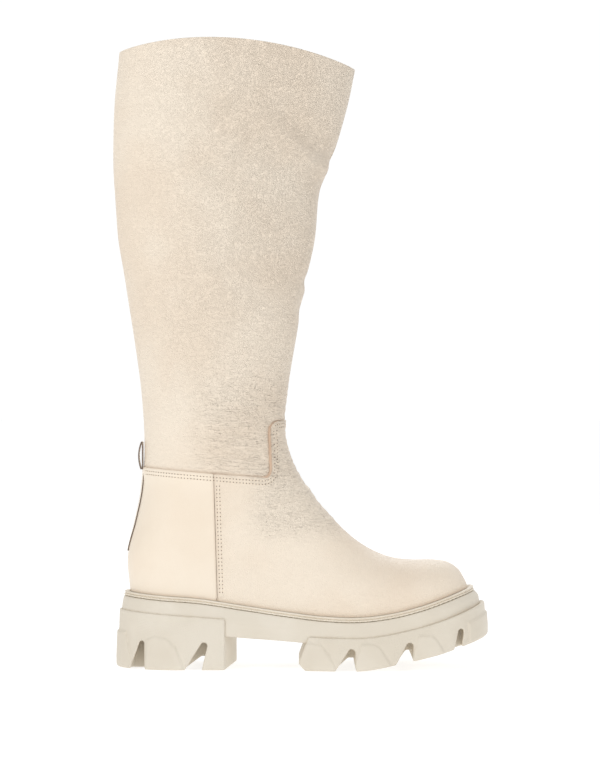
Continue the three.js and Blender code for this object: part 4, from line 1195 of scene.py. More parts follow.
@dataclass
class Upper:
    """The leather pieces of the boot's upper.

    The leg's leather runs down under the foot's pieces. At each turn round the leg, tuck gives the station
    where it ends.
    """

    leather: float = 1.35
    gap: float = 0.003
    leg_rows: int = 210
    leg_columns: int = 92
    vamp_rows: int = 160
    vamp_columns: int = 270
    counter_rows: int = 74
    counter_columns: int = 62
    tuck: tuple = ((0.0, 10.95), (0.22, 10.95), (0.3, 10.95), (0.5, 10.5), (0.7, 9.9), (1.0, 9.55))
    front_foot: float = 10.3
    rear_foot: float = 10.2
    tongue_front: float = -12.6
    counter_back: tuple = (-124.9, 159.0)
    seam_foot: float = 56.0

    def __post_init__(self) -> None:
        """Works out where the zip's opening and the leg seam's low end stand."""
        self.zip_front = ZIP_X + SEAMS.slot_half
        self.zip_rear = ZIP_X - SEAMS.slot_half
        self.seam_back = SEAMS.leg[1][0]

    def hidden_edge(self, start: float, end: float) -> Points:
        """The leg leather's lower edge, tucked under the foot's pieces, from one turn to another."""
        w = np.linspace(start, end, 60)
        around, station = np.array(self.tuck).T
        return pairs(np.interp(np.abs(w), around, station), w)

    def edge_on_zip(self, x: float, foot: float, count: int = 80) -> Points:
        """An edge of the zip's opening at x, from the top line down to a station."""
        v = np.linspace(0, foot, count)
        return pairs(v, LAST.turn_at(v, x, 1))

    def top_line(self, start: float, end: float) -> Points:
        """A stretch of the top line between two turns."""
        w = np.linspace(start, end, 60)
        return pairs(0.0, w)

    def leg_hem(self, p: Points) -> Points:
        """Where the leg's leather is darker with painted shade, along the leg seam where it goes under the
        foot's pieces.
        """
        seam = np.exp(-((SEAMS.into_foot(p[..., 0], p[..., 2]) + 0.4) ** 2) / 2.2)
        return np.clip(seam, 0, 1)

    def leg_depth(self, p: Points) -> Points:
        """The leg leather's depth, which grows where it dives under the foot's pieces."""
        return SEAMS.dive(p[..., 0], p[..., 2])

    def leg_piece(self, name: str, net: Points) -> None:
        """Makes one piece of the leg."""
        layer = Layer(name, net, self.leather, self.leg_depth, marks=leather_marks(self.leg_hem))
        finish(layer.build(), Slot.GRAINED, GRAINED, nodes=[name.removesuffix("_leather")])

    def make_leg_outer(self) -> None:
        """Makes the leg's outer piece, from the back seam round to the front."""
        start, end = -1 + self.gap, -self.gap
        low = self.hidden_edge(start, end)
        left = np.array([[0, start], [low[0, 0], start]])
        right = np.array([[0, end], [low[-1, 0], end]])
        net = patch(left, right, self.top_line(start, end), low, self.leg_rows, self.leg_columns)
        self.leg_piece("shaft_outer_leather", net)

    def make_leg_inner(self) -> None:
        """Makes the leg's two inner pieces, one on each side of the zip."""
        rows, columns, gap = self.leg_rows, self.leg_columns // 2, self.gap
        front = self.edge_on_zip(self.zip_front, self.front_foot)
        end = front[-1, 1]
        low = self.hidden_edge(gap, end)
        low[:, 0] = mix(low[:, 0], self.front_foot, smooth(end - 0.2, end, low[:, 1]))
        left = np.array([[0, gap], [low[0, 0], gap]])
        top = self.top_line(gap, front[0, 1])
        self.leg_piece("shaft_inner_front_leather", patch(left, front, top, low, rows, columns))
        rear = self.edge_on_zip(self.zip_rear, self.rear_foot)
        start = rear[-1, 1]
        low = self.hidden_edge(start, 1 - gap)
        low[:, 0] = mix(self.rear_foot, low[:, 0], smooth(start, start + 0.2, low[:, 1]))
        right = np.array([[0, 1 - gap], [low[-1, 0], 1 - gap]])
        top = self.top_line(rear[0, 1], 1 - gap)
        self.leg_piece("shaft_inner_rear_leather", patch(rear, right, top, low, rows, columns))

    def vamp_seam(self, back: float, from_z: float, to_z: float) -> Points:
        """The seam between the vamp and the outer counter, moved back by some millimetres."""
        (x0, z0), (x1, z1) = SEAMS.vamp
        z = np.linspace(from_z, to_z, 70)
        return np.stack([x0 + (x1 - x0) * (z - z0) / (z1 - z0) - back, z], axis=1)

    def feather_station(self, x: float) -> float:
        """The station whose lower end stands at x."""
        low = LAST.feather_line
        return LAST.corner + float(np.interp(x, low[:, 0], np.arange(len(low)))) / LAST.fine

    def side_turns(self, flat: Points, foot: float, side: int) -> tuple[Points, Points]:
        """The stations along a seam down to the feather line, and how far round each one is cut there."""
        net = LAST.find(flat, side)
        v = np.append(net[:, 0], foot)
        w = np.append(np.abs(net[:, 1]), 1.0)
        order = np.argsort(v)
        return v[order], w[order]

    def toe_ease(self, r: Points) -> Points:
        """Spreads the vamp's rows so that they close up towards the tip of the toe."""
        start, power = 0.75, 2.3
        slope = power / (1 - start + power * start)
        late = 1 - (1 - slope * start) * ((1 - np.clip(r, start, 1)) / (1 - start)) ** power
        return np.where(r < start, slope * r, late)

    def seam_x(self, z: Points) -> Points:
        """Where the seam between the vamp and the outer counter stands at a height."""
        return np.interp(z, [SEAMS.vamp[1][1], SEAMS.vamp[0][1]], [SEAMS.vamp[1][0], SEAMS.vamp[0][0]])

    def foot_depth(self, p: Points) -> Points:
        """The depth of the foot's pieces, which ride up near the leg seam and the vamp's rear edge."""
        x, z = p[..., 0], p[..., 2]
        seam_x = self.seam_x(z)
        beside = 0.6 * (1 - smooth(1.5, 10, x - seam_x)) * (p[..., 1] < 0) * (x > seam_x - 0.2)
        return -np.maximum(SEAMS.lift(x, z), beside)

    def foot_hem(self, p: Points) -> Points:
        """Where the foot's pieces are darker with painted shade: along the sewn edges and down at the welt.
        """
        x, z = p[..., 0], p[..., 2]
        edge = np.exp(-((x - self.seam_x(z)) ** 2) / 1.6) * (p[..., 1] < 0) * (z < 153)
        feather = np.interp(x, LAST.feather_line[:, 0], LAST.feather_line[:, 1])
        welt = 0.75 * np.exp(-(np.maximum(0, z - feather) / 1.6) ** 2)
        top = 0.5 * np.exp(-(SEAMS.into_foot(x, z) ** 2) / 0.8)
        return np.clip(edge + welt + top, 0, 1)

    def vamp_rim(self, outer: tuple[Points, Points], inner: tuple[Points, Points]) -> Points:
        """The vamp's upper edge from the outer seam over the tongue to the zip, one row for each column.

        Args:
            outer: Where the vamp is cut on the outer side, as stations and turns.
            inner: The same on the inner side.

        Returns:
            The edge's stations, and how far round each place lies from the front (0) to the cuts (-1 and 1).
        """
        there = LAST.find(SEAMS.leg_path(-67.6, self.tongue_front), -1)
        back = LAST.find(SEAMS.leg_path(self.zip_front, self.tongue_front)[::-1], 1)
        rim = np.concatenate([there, [[there[-1, 0], 0.0]], back])
        reach = reach_along(LAST.point(rim[:, 0], rim[:, 1]))
        rim[:, 1] /= np.where(rim[:, 1] < 0, np.interp(rim[:, 0], *outer), np.interp(rim[:, 0], *inner))
        rim[0, 1], rim[-1, 1] = -1.0, 1.0
        return sample(np.linspace(0, reach[-1], self.vamp_columns), reach, rim)

    def make_vamp(self) -> None:
        """Makes the vamp with its tongue up the front of the ankle."""
        jog_x = ZIP_X + SEAMS.gap / 2
        foot = self.feather_station(SEAMS.vamp[1][0] - 0.5)
        outer = self.side_turns(self.vamp_seam(0, 155, self.seam_foot), foot, -1)
        z = np.linspace(155, SEAMS.slot_foot, 60)
        down = pairs(self.zip_front, z)
        down = np.append(down, [[jog_x, 65.2], [jog_x, 60]], axis=0)
        inner = self.side_turns(down, self.feather_station(jog_x), 1)
        top = self.vamp_rim(outer, inner)
        columns = self.vamp_columns
        bottom = pairs(float(LAST.toe), np.linspace(-1, 1, columns))
        net = mix(top[None], bottom[None], self.toe_ease(np.linspace(0, 1, self.vamp_rows))[:, None, None])
        v, across = net[..., 0], net[..., 1]
        cut = np.where(across < 0, np.interp(v, *outer), np.interp(v, *inner))
        even = 0.5 + 0.5 * smooth(12, 19, v)
        net[..., 1] = across * mix(even, cut, np.abs(across) ** 6)
        marks = leather_marks(self.foot_hem)
        layer = Layer("vamp_leather", net, self.leather, self.foot_depth, toe=True, marks=marks)
        finish(layer.build(), Slot.GRAINED, GRAINED, nodes=["vamp"])

    def counter_piece(self, name: str, edges: Sequence[Points]) -> None:
        """Makes one counter between its left, right, top and bottom edges."""
        net = patch(*edges, self.counter_rows, self.counter_columns)
        marks = plain_marks(0.25) | {"hem": self.foot_hem}
        layer = Layer(name, net, self.leather, self.foot_depth, marks=marks)
        finish(layer.build(), Slot.SMOOTH, SMOOTH, nodes=[name.removesuffix("_leather")])

    def make_counters(self) -> None:
        """Makes the leather round the heel, one piece on each side of the back seam."""
        corner = float(LAST.corner)
        back_v = float(LAST.find(np.array([self.counter_back]), -1)[0, 0])
        back = -1 + self.gap
        top = LAST.find(SEAMS.leg_path(self.seam_back, -68.2), -1)
        top = np.concatenate([[[back_v, back]], top])
        seam = LAST.find(self.vamp_seam(SEAMS.gap, 154.2, self.seam_foot), -1)
        foot = self.feather_station(SEAMS.vamp[1][0] - 0.8)
        right = np.concatenate([[top[-1]], seam, [[foot, -1.0]]])
        left = np.array([[back_v, back], [corner, back]])
        bottom = np.array([[corner, back], [foot, -1.0]])
        self.counter_piece("counter_outer_leather", (left, right, top, bottom))
        back = 1 - self.gap
        top = LAST.find(SEAMS.leg_path(self.seam_back, self.zip_rear)[::-1], 1)
        top = np.concatenate([top, [[back_v, back]]])
        z = np.linspace(153, SEAMS.slot_foot, 50)
        seam = LAST.find(pairs(self.zip_rear, z), 1)
        jog_x = ZIP_X - SEAMS.gap / 2
        jog = LAST.find(np.array([[jog_x, SEAMS.slot_foot], [jog_x, 60]]), 1)
        foot = self.feather_station(jog_x)
        left = np.concatenate([[top[0]], seam, jog, [[foot, 1.0]]])
        right = np.array([[back_v, back], [corner, back]])
        bottom = np.array([[foot, 1.0], [corner, back]])
        self.counter_piece("counter_inner_leather", (left, right, top, bottom))

    def build(self) -> None:
        """Makes every piece of the upper."""
        self.make_leg_outer()
        self.make_leg_inner()
        self.make_vamp()
        self.make_counters()


# ---- the bottom


@dataclass(frozen=True)
class Notch:
    """A notch in a tread's side: a slot from start to end at the ground, with a round top at x and z.

    It reaches in to a distance from the boot's middle. One that runs through meets the one on the other side
    in a shallow groove.
    """

    start: float
    end: float
    x: float
    z: float
    radius: float
    reach: float
    through: bool = False

    def outline(self) -> Points:
        """The slot in side view."""
        lean = math.atan2(self.x - (self.start + self.end) / 2, self.z)
        turn = np.linspace(math.pi - lean * 0.6, -lean * 0.6, 14)
        top = np.stack([self.x + self.radius * np.cos(turn), self.z + self.radius * np.sin(turn)], axis=1)
        return np.concatenate([[(self.start, -20), (self.start, 0)], top, [(self.end, 0), (self.end, -20)]])


def steady(value: float) -> Curve:
    """A size or a height that is the same at every x."""
    return lambda x: np.full_like(x, value)


@dataclass
class Bottom:
    """The welt, the midsole, the two treads and the sock inside, all laid out from the feather line."""

    welt: float = 3.4
    gap: float = 0.3
    welt_reach: float = 4.4
    welt_inside: float = 11.0
    midsole_reach: float = 4.9
    midsole_flare: float = 1.8
    toe_flare: float = 2.6
    tread_reach: float = 8.4
    tread_toe_reach: float = 13.4
    groove: float = 9.5
    overlap: float = -0.5
    pad_height: float = 1.5
    sock_inset: float = 9.2
    voxel: float = 0.85
    rope_pitch: float = 4.0
    rope_swell: float = 0.28
    rope_rise: float = 0.16
    steps: int = 150
    across: int = 20
    heel_ledge: tuple = ((-150, 47.4), (-52, 38.8))
    fore_ledge: tuple = ((0, 26.8), (30, 26), (56, 26.6), (87, 32.2), (114, 39.6), (142, 49.6), (160, 56.8))
    ground: tuple = ((-160, 0), (0, 0), (40, 0), (56, 1.2), (70, 3.8), (92, 8.4), (111, 12.8), (130, 18.6),
                     (143, 22.6), (160, 28))
    waist: tuple = ((-400, 26.6), (-64, 26.6), (8, 21.4), (400, 21.4), (400, 400), (-400, 400))
    breast: tuple = ((-300, -80), (-59.4, -80), (-59.4, -40), (-51.6, 40), (-51.6, 80), (-300, 80))
    fore_back: tuple = ((6.6, 30), (-1.2, 6), (1.6, 2.6), (8, -4))
    fore_notches: tuple[Notch, ...] = (
        Notch(27.5, 43.5, 40.4, 14.9, 2.9, 36, through=True),
        Notch(72.5, 88, 86, 19.6, 2.9, 34, through=True),
        Notch(118, 125, 126.8, 30.2, 2.2, 22),
    )
    heel_notches: tuple[Notch, ...] = (
        Notch(-134.5, -123, -125, 21, 1.9, 12),
        Notch(-91, -77.6, -75.8, 19.4, 2.7, 22, through=True),
    )
    channel: tuple = ((50, -20), (50, 7.5), (72, 10.5), (118, 22), (118, -20))
    fore_pads: tuple = (
        ((-20, -20), (-20, 21.4), (5.6, 21.4), (15.7, 20.6), (22.3, 12), (28.6, 0), (29.6, -20)),
        ((44.4, -20), (42.2, 3), (47.5, 20.8), (58.1, 20.8), (62.4, 18), (71.6, 4), (73, -20)),
        ((90, -20), (88, 9), (93.3, 27.4), (103.2, 27.4), (107, 24.6), (114.6, 12), (118, -20)),
        ((136.4, -20), (133.8, 36.8), (150, 43.6), (200, 43.6), (200, -20)),
    )
    heel_pads: tuple = (
        ((-200, -20), (-200, 28.6), (-139.2, 28.6), (-133.4, 4), (-132, -20)),
        ((-122, -20), (-122, 2), (-121.4, 23.4), (-115.2, 26.2), (-106, 24.6), (-98.4, 17.6), (-92.6, 3),
         (-91, -20)),
    )

    def __post_init__(self) -> None:
        """Lays the feather line once, with the way out of it on both sides."""
        t = np.arange(self.steps + 1) / self.steps
        eased = mix(t, (1 - np.cos(np.pi * t)) / 2, 0.75)
        v = mix(LAST.corner, LAST.toe, eased)
        self.outer = LAST.point(v, np.full(len(v), -1.0))
        self.inner = LAST.point(v, np.full(len(v), 1.0))
        loop = np.concatenate([self.outer, self.inner[-2:0:-1]])[:, :2]
        run = np.roll(loop, -1, axis=0) - np.roll(loop, 1, axis=0)
        out = unit(pairs(run[:, 1], -run[:, 0]))
        self.loop, self.out = loop, out
        self.outer_out = out[: self.steps + 1]
        self.inner_out = np.concatenate([out[:1], out[: self.steps : -1], out[self.steps : self.steps + 1]])
        self.ledges = through(self.heel_ledge), through(self.fore_ledge)
        self.floor = through(self.ground)

    def feather_z(self, x: Points) -> Points:
        """The feather line's height at x, going on straight past its ends."""
        line_x, line_z = self.outer[:, 0], self.outer[:, 2]
        inside = np.interp(x, line_x, line_z)
        first = (line_z[2] - line_z[0]) / (line_x[2] - line_x[0])
        last = (line_z[-1] - line_z[-3]) / (line_x[-1] - line_x[-3])
        return inside + np.minimum(0, x - line_x[0]) * first + np.maximum(0, x - line_x[-1]) * last

    def toe_share(self, x: Points) -> Points:
        """How far the toe has begun, from 0 at the ball to 1 at the tip."""
        return smooth(LAST.fore_reach - 50, LAST.fore_reach, x)

    def ground_z(self, x: Points) -> Points:
        """The height of the treads' lowest faces at x."""
        return np.maximum(0.0, self.floor(x))

    def level(self, out: Curve, z: Curve) -> Points:
        """One level of a slab: how far out it lies and how high, both worked out from x."""
        outer = self.outer[:, :2] + self.outer_out * out(self.outer[:, 0])[:, None]
        inner = self.inner[:, :2] + self.inner_out * out(self.inner[:, 0])[:, None]
        share = (1 - np.cos(np.linspace(0, np.pi, self.across + 1))) / 2
        flat = mix(outer[None], inner[None], share[:, None, None])
        return np.concatenate([flat, z(flat[..., 0])[..., None]], axis=-1)

    def slab(self, name: str, levels: Sequence[Points]) -> Object:
        """A solid with the boot's plan outline, pushed down from level to level.

        Args:
            name: The piece's name.
            levels: Its levels from the top down.

        Returns:
            The closed solid.
        """
        obj, index = grid(name, levels[0])
        order = obj.data.attributes.new("place", "INT", "POINT")
        order.data.foreach_set("value", index.astype(np.int32))
        take(obj)
        bpy.ops.object.mode_set(mode="EDIT")
        bpy.ops.mesh.select_all(action="SELECT")
        for level in levels[1:]:
            bpy.ops.mesh.extrude_region_move()
            bpy.ops.object.mode_set(mode="OBJECT")
            count = len(obj.data.vertices)
            chosen = np.empty(count, bool)
            obj.data.vertices.foreach_get("select", chosen)
            where = np.empty(count, np.int32)
            obj.data.attributes["place"].data.foreach_get("value", where)
            points = corners(obj)
            points[chosen] = (level.reshape(-1, 3)[where[chosen]] + SHIFT) * MM
            place(obj, points)
            bpy.ops.object.mode_set(mode="EDIT")
        bpy.ops.object.mode_set(mode="OBJECT")
        obj.data.attributes.remove(obj.data.attributes["place"])
        weld(obj, 2e-5)
        return obj

    def mould(self, obj: Object, rounds: int = 6) -> Object:
        """Turns a cut solid into one even skin and softens its edges, as a mould leaves them."""
        modify(obj, "REMESH", mode="VOXEL", voxel_size=self.voxel * MM, adaptivity=0.0)
        modify(obj, "SMOOTH", factor=0.5, iterations=rounds)
        return shade(obj)

    def make_welt(self) -> None:
        """Makes the welt: a smooth bead, a stitch groove and a rope-like bead round a flat strip."""
        around = 1400
        ring = np.concatenate([self.loop, self.loop[:1]])
        reach = reach_along(ring)
        at = np.arange(around) / around * reach[-1]
        base = sample(at, reach, ring)
        out = unit(sample(at, reach, np.concatenate([self.out, self.out[:1]])))
        turns = round(reach[-1] / self.rope_pitch)
        wave = np.sin(np.arange(around) / around * turns * 2 * np.pi)
        top, low, edge, inside = -self.gap, -self.gap - self.welt, self.welt_reach, -self.welt_inside
        shape = np.array([
            (inside, top), (-4, top), (0.2, top),
            (edge - 2.6, top + 0.25), (edge - 1.3, top + 0.35), (edge - 0.45, top + 0.1),
            (edge - 0.05, top - 0.45), (edge - 0.05, top - 0.95), (edge - 0.45, top - 1.3),
            (edge - 1.0, top - 1.5), (edge - 1.0, top - 1.75),
            (edge - 0.4, top - 1.9), (edge + 0.05, top - 2.2), (edge + 0.2, top - 2.55),
            (edge + 0.15, top - 2.9), (edge - 0.15, top - 3.2), (edge - 0.7, low),
            (edge - 2.5, low), (0, low), (-5, low), (inside, low), (inside, (top + low) / 2),
        ])
        rope = np.zeros(len(shape))
        rope[9:17] = 0.1, 0.35, 0.8, 1, 1, 1, 0.8, 0.2
        spread = shape[None, :, 0] + self.rope_swell * rope[None] * wave[:, None]
        rise = shape[None, :, 1] + self.rope_rise * rope[None] * np.roll(wave, 3)[:, None]
        flat = base[:, None] + out[:, None] * spread[..., None]
        flat = np.where((spread > -1)[..., None], flat, self.inward(base, out, spread))
        points = np.concatenate([flat, (self.feather_z(flat[..., 0]) + rise)[..., None]], axis=-1)
        points = np.concatenate([points, points[:1]])
        obj, _ = grid("welt_strip", np.concatenate([points, points[:, :1]], axis=1))
        weld(obj, 1e-6)
        finish(shade(obj), Slot.WELT, WELT_RUBBER, nodes=["welt"])

    def inward(self, base: Points, out: Points, spread: Points) -> Points:
        """Points inside the feather line, which close up on the boot's middle line at the narrow ends."""
        middle = np.stack([np.clip(base[:, 0], -118, 112), np.interp(base[:, 0], [0, 134], [0, 6])], axis=1)
        back = middle[:, None] - base[:, None]
        far = np.linalg.norm(back, axis=-1, keepdims=True)
        return base[:, None] + back / far * np.minimum(-spread[..., None], far * 0.92)

    def heel_space(self, gap: float) -> tuple[Object, Object]:
        """What lies under the heel's ledge, and what lies behind its slanting breast."""
        ledge = self.ledges[0]
        back, front, under = -160.0, -40.0, -200.0
        over = [(x, float(ledge(x)) + gap) for x in (front, back)]
        side = [(back, under), (front, under), *over]
        plan = [(x + (gap if x > -100 else 0), y) for x, y in self.breast]
        return prism("heel_side", side), column("heel_plan", plan, -100, 100)

    def fore_space(self, gap: float) -> Object:
        """What lies under the forepart's ledge and ahead of its rear edge."""
        rear = [(x - gap, z) for x, z in self.fore_back]
        start, ahead = self.fore_back[0][0], LAST.fore_reach + 25
        x = np.linspace(start + 4, ahead, 30)
        ledge = np.stack([x, self.ledges[1](x) + gap], axis=1)[::-1]
        rear[0] = (rear[0][0], float(self.ledges[1](start)) + gap)
        return prism("fore_side", np.array([*ledge, *rear, (rear[3][0], -200), (ahead, -200)]))

    def above_feather(self, up: float) -> Curve:
        """A height that follows the feather line, some millimetres above it."""
        return lambda x: self.feather_z(x) + up

    def wall_out(self, more: float) -> Curve:
        """How far out the midsole's wall stands, plus some more millimetres."""
        flare = self.midsole_reach + self.midsole_flare
        return lambda x: flare + more + self.toe_flare * self.toe_share(x)

    def make_midsole(self) -> None:
        """Makes the midsole, which shows as the wall between the welt and the treads."""
        top = -self.gap - self.welt - self.gap
        body = self.slab("midsole_wall", [
            self.level(steady(self.midsole_reach), self.above_feather(top)),
            self.level(self.wall_out(-0.7), self.above_feather(-9.0)),
            self.level(self.wall_out(0.0), self.above_feather(-14.0)),
            self.level(self.wall_out(0.0), steady(10.0)),
        ])
        carve(body, prism("waist", self.waist), "INTERSECT")
        side, plan = self.heel_space(self.overlap)
        carve(side, plan, "INTERSECT")
        carve(body, side, "DIFFERENCE")
        carve(body, self.fore_space(self.overlap), "DIFFERENCE")
        finish(self.mould(body, 4), Slot.RUBBER, SOLE_RUBBER, nodes=["midsole"])

    def tread_out(self, flare: float, more: float) -> Curve:
        """How far out a tread's wall stands, with its flare at one level and what the whole slab adds."""
        return lambda x: mix(self.tread_reach, self.tread_toe_reach, self.toe_share(x)) + flare + more

    def above_ground(self, up: float) -> Curve:
        """A height that follows the treads' lowest faces, some millimetres above them."""
        return lambda x: self.ground_z(x) + up

    def tread_slab(self, name: str, ledge: Curve, more: float) -> Object:
        """A tread's body before it is cut, standing out by some more millimetres."""
        low = 0.15 if more else 0.0
        return self.slab(name, [
            self.level(self.tread_out(-0.8, more), steady(70.0)),
            self.level(self.tread_out(0.0, more), lambda x: ledge(x) - 1.2),
            self.level(self.tread_out(1.3, more), self.above_ground(8.0)),
            self.level(self.tread_out(1.2, more), self.above_ground(1.4)),
            self.level(self.tread_out(-0.2, more), self.above_ground(low)),
        ])

    def cut_notches(self, body: Object, notches: Sequence[Notch]) -> None:
        """Cuts the notches into both sides of a tread, and its grooves right across."""
        for notch in notches:
            shape, reach = notch.outline(), notch.reach
            carve(body, prism("notch", shape, -CLEAR, -reach), "DIFFERENCE")
            carve(body, prism("notch", shape, reach, CLEAR), "DIFFERENCE")
            if notch.through:
                top = float(self.ground_z(np.array((notch.start + notch.end) / 2))) + self.groove
                low = shape.copy()
                low[:, 1] = np.minimum(low[:, 1], top)
                keep = np.concatenate([[True], np.linalg.norm(np.diff(low, axis=0), axis=1) > 0.05])
                carve(body, prism("groove", low[keep], -reach - 1, reach + 1), "DIFFERENCE")

    def make_tread(self, name: str, fore: bool) -> None:
        """Makes one tread with its notches and its raised pads."""
        ledge = self.ledges[1 if fore else 0]
        notches = self.fore_notches if fore else self.heel_notches
        pads = self.fore_pads if fore else self.heel_pads
        body = self.tread_slab(name, ledge, 0.0)
        band = self.tread_slab("band", ledge, self.pad_height)
        carve(band, join("pads", [prism("pad", pad) for pad in pads]), "INTERSECT")
        carve(body, band, "UNION")
        if fore:
            carve(body, self.fore_space(0.0), "INTERSECT")
            carve(body, prism("channel", self.channel, -3, 9), "DIFFERENCE")
        else:
            side, plan = self.heel_space(0.0)
            carve(side, plan, "INTERSECT")
            carve(body, side, "INTERSECT")
        self.cut_notches(body, notches)
        self.mould(body, 4)
        self.mark_pads(body, pads)
        finish(body, Slot.RUBBER, TREAD_RUBBER, nodes=["forepart_tread" if fore else "heel_tread"])

    def mark_pads(self, body: Object, pads: Sequence[tuple]) -> None:
        """Marks the raised pads, which stay free of the knurl."""
        p = corners(body) / MM - SHIFT
        inside = np.zeros(len(p))
        for pad in pads:
            low, high = min(x for x, _ in pad), max(x for x, _ in pad)
            top = max(z for _, z in pad)
            inside = np.maximum(inside, (p[:, 0] > low) & (p[:, 0] < high) & (p[:, 2] < top + 0.6))
        flat = np.abs(p[:, 1]) < 30
        mark(body, "pad", np.maximum(inside * 1.0, flat * 1.0))

    def make_sock(self) -> None:
        """Makes the padded sock that lies in the boot, with a round edge above and below."""
        edge = ((1.6, 5.3), (0.5, 5.0), (0.0, 4.3), (0.0, 2.9), (0.6, 2.4))
        levels = [self.level(steady(-self.sock_inset - more), self.above_feather(up)) for more, up in edge]
        sock = shade(self.slab("sock_pad", levels), 50)
        mark_plain(sock)
        finish(sock, Slot.LINING, LINING, nodes=["sock_liner"])

    def build(self) -> None:
        """Makes every piece of the bottom."""
        self.make_welt()
        self.make_midsole()
        self.make_tread("heel_tread_block", False)
        self.make_tread("forepart_tread_block", True)
        self.make_sock()


# ---- stitches and trim


@dataclass
class Stitching:
    """The threads that hold the upper together, with the needle's holes between them."""

    length: float = 1.5
    width: float = 0.55
    height: float = 0.4
    hole: float = 0.46
    leg_rows: tuple[float, ...] = (2.6, 5.2)
    vamp_rows: tuple[float, ...] = (1.9, 4.2)
    zip_margin: float = 2.0
    leg_pitch: float = 2.6
    vamp_pitch: float = 3.0
    zip_pitch: float = 3.2

    def model(self) -> Object:
        """One stitch with the hole that it goes down by."""
        deselect()
        bpy.ops.mesh.primitive_uv_sphere_add(segments=8, ring_count=4, radius=0.5 * MM)
        stitch = named("stitch")
        size = (self.length, self.width, self.height)
        edit(stitch, lambda: bpy.ops.transform.resize(value=size))
        bpy.ops.mesh.primitive_uv_sphere_add(segments=6, ring_count=4, radius=self.hole * MM)
        hole = named("hole")
        shift = (self.length * 0.5 + 0.35) * MM
        edit(
            hole,
            lambda: bpy.ops.transform.resize(value=(1.0, 1.0, 0.3)),
            lambda: bpy.ops.transform.translate(value=(shift, 0, 0)),
        )
        for polygon in hole.data.polygons:
            polygon.material_index = 1
        for part in (stitch, hole):
            part.data.materials.append(THREAD)
            part.data.materials.append(NEEDLE_HOLE)
        return join("stitch", [stitch, hole])

    def row(self, flat: Points, side: int, pitch: float, depth: Curve) -> list[Matrix]:
        """The places of a row of stitches.

        Args:
            flat: The row's path in side view.
            side: -1 for the outer side and +1 for the inner one.
            pitch: From one stitch to the next.
            depth: The depth of the leather that the row is sewn into.

        Returns:
            One place for each stitch, in metres.
        """
        net = LAST.find(resample(flat, 260), side)
        v, w = net[:, 0], net[:, 1]
        p = LAST.point(v, w)
        out = LAST.normal(v, w)
        p = p + out * (DRAPE.relief(p) - depth(p) + 0.04)[:, None]
        reach = reach_along(p)
        at = (np.arange(int(reach[-1] / pitch)) + 0.5) * pitch
        spots, nexts = sample(at, reach, p), sample(at + 0.3, reach, p)
        normals = sample(at, reach, out)
        return [stand_at((a + SHIFT) * MM, b - a, n) for a, b, n in zip(spots, nexts, normals)]

    def beside(self, path: Points, distance: float) -> Points:
        """A path moved to its right by some millimetres."""
        run = unit(np.gradient(path, axis=0))
        return path + pairs(run[:, 1], -run[:, 0]) * distance

    def build(self, upper: Upper) -> None:
        """Sews every row."""
        places = []
        back, front = -123, -14
        zip_front, zip_rear = upper.zip_front + self.zip_margin, upper.zip_rear - self.zip_margin
        for offset in self.leg_rows:
            for start, end, side in ((back, front, -1), (zip_front, front, 1), (back, zip_rear, 1)):
                path = self.beside(SEAMS.leg_path(start, end), offset)
                places += self.row(path, side, self.leg_pitch, upper.foot_depth)
        for offset in self.vamp_rows:
            places += self.row(upper.vamp_seam(-offset, 147.4, 58), -1, self.vamp_pitch, upper.foot_depth)
        for x in (zip_front, zip_rear):
            stretches = (481, 158, 200, upper.leg_depth), (144, 66, 60, upper.foot_depth)
            for top, foot, count, depth in stretches:
                path = pairs(x, np.linspace(top, foot, count))
                places += self.row(path, 1, self.zip_pitch, depth)
        thread = copies("seam_stitches", self.model(), places)
        finish(thread, Slot.TAPE)


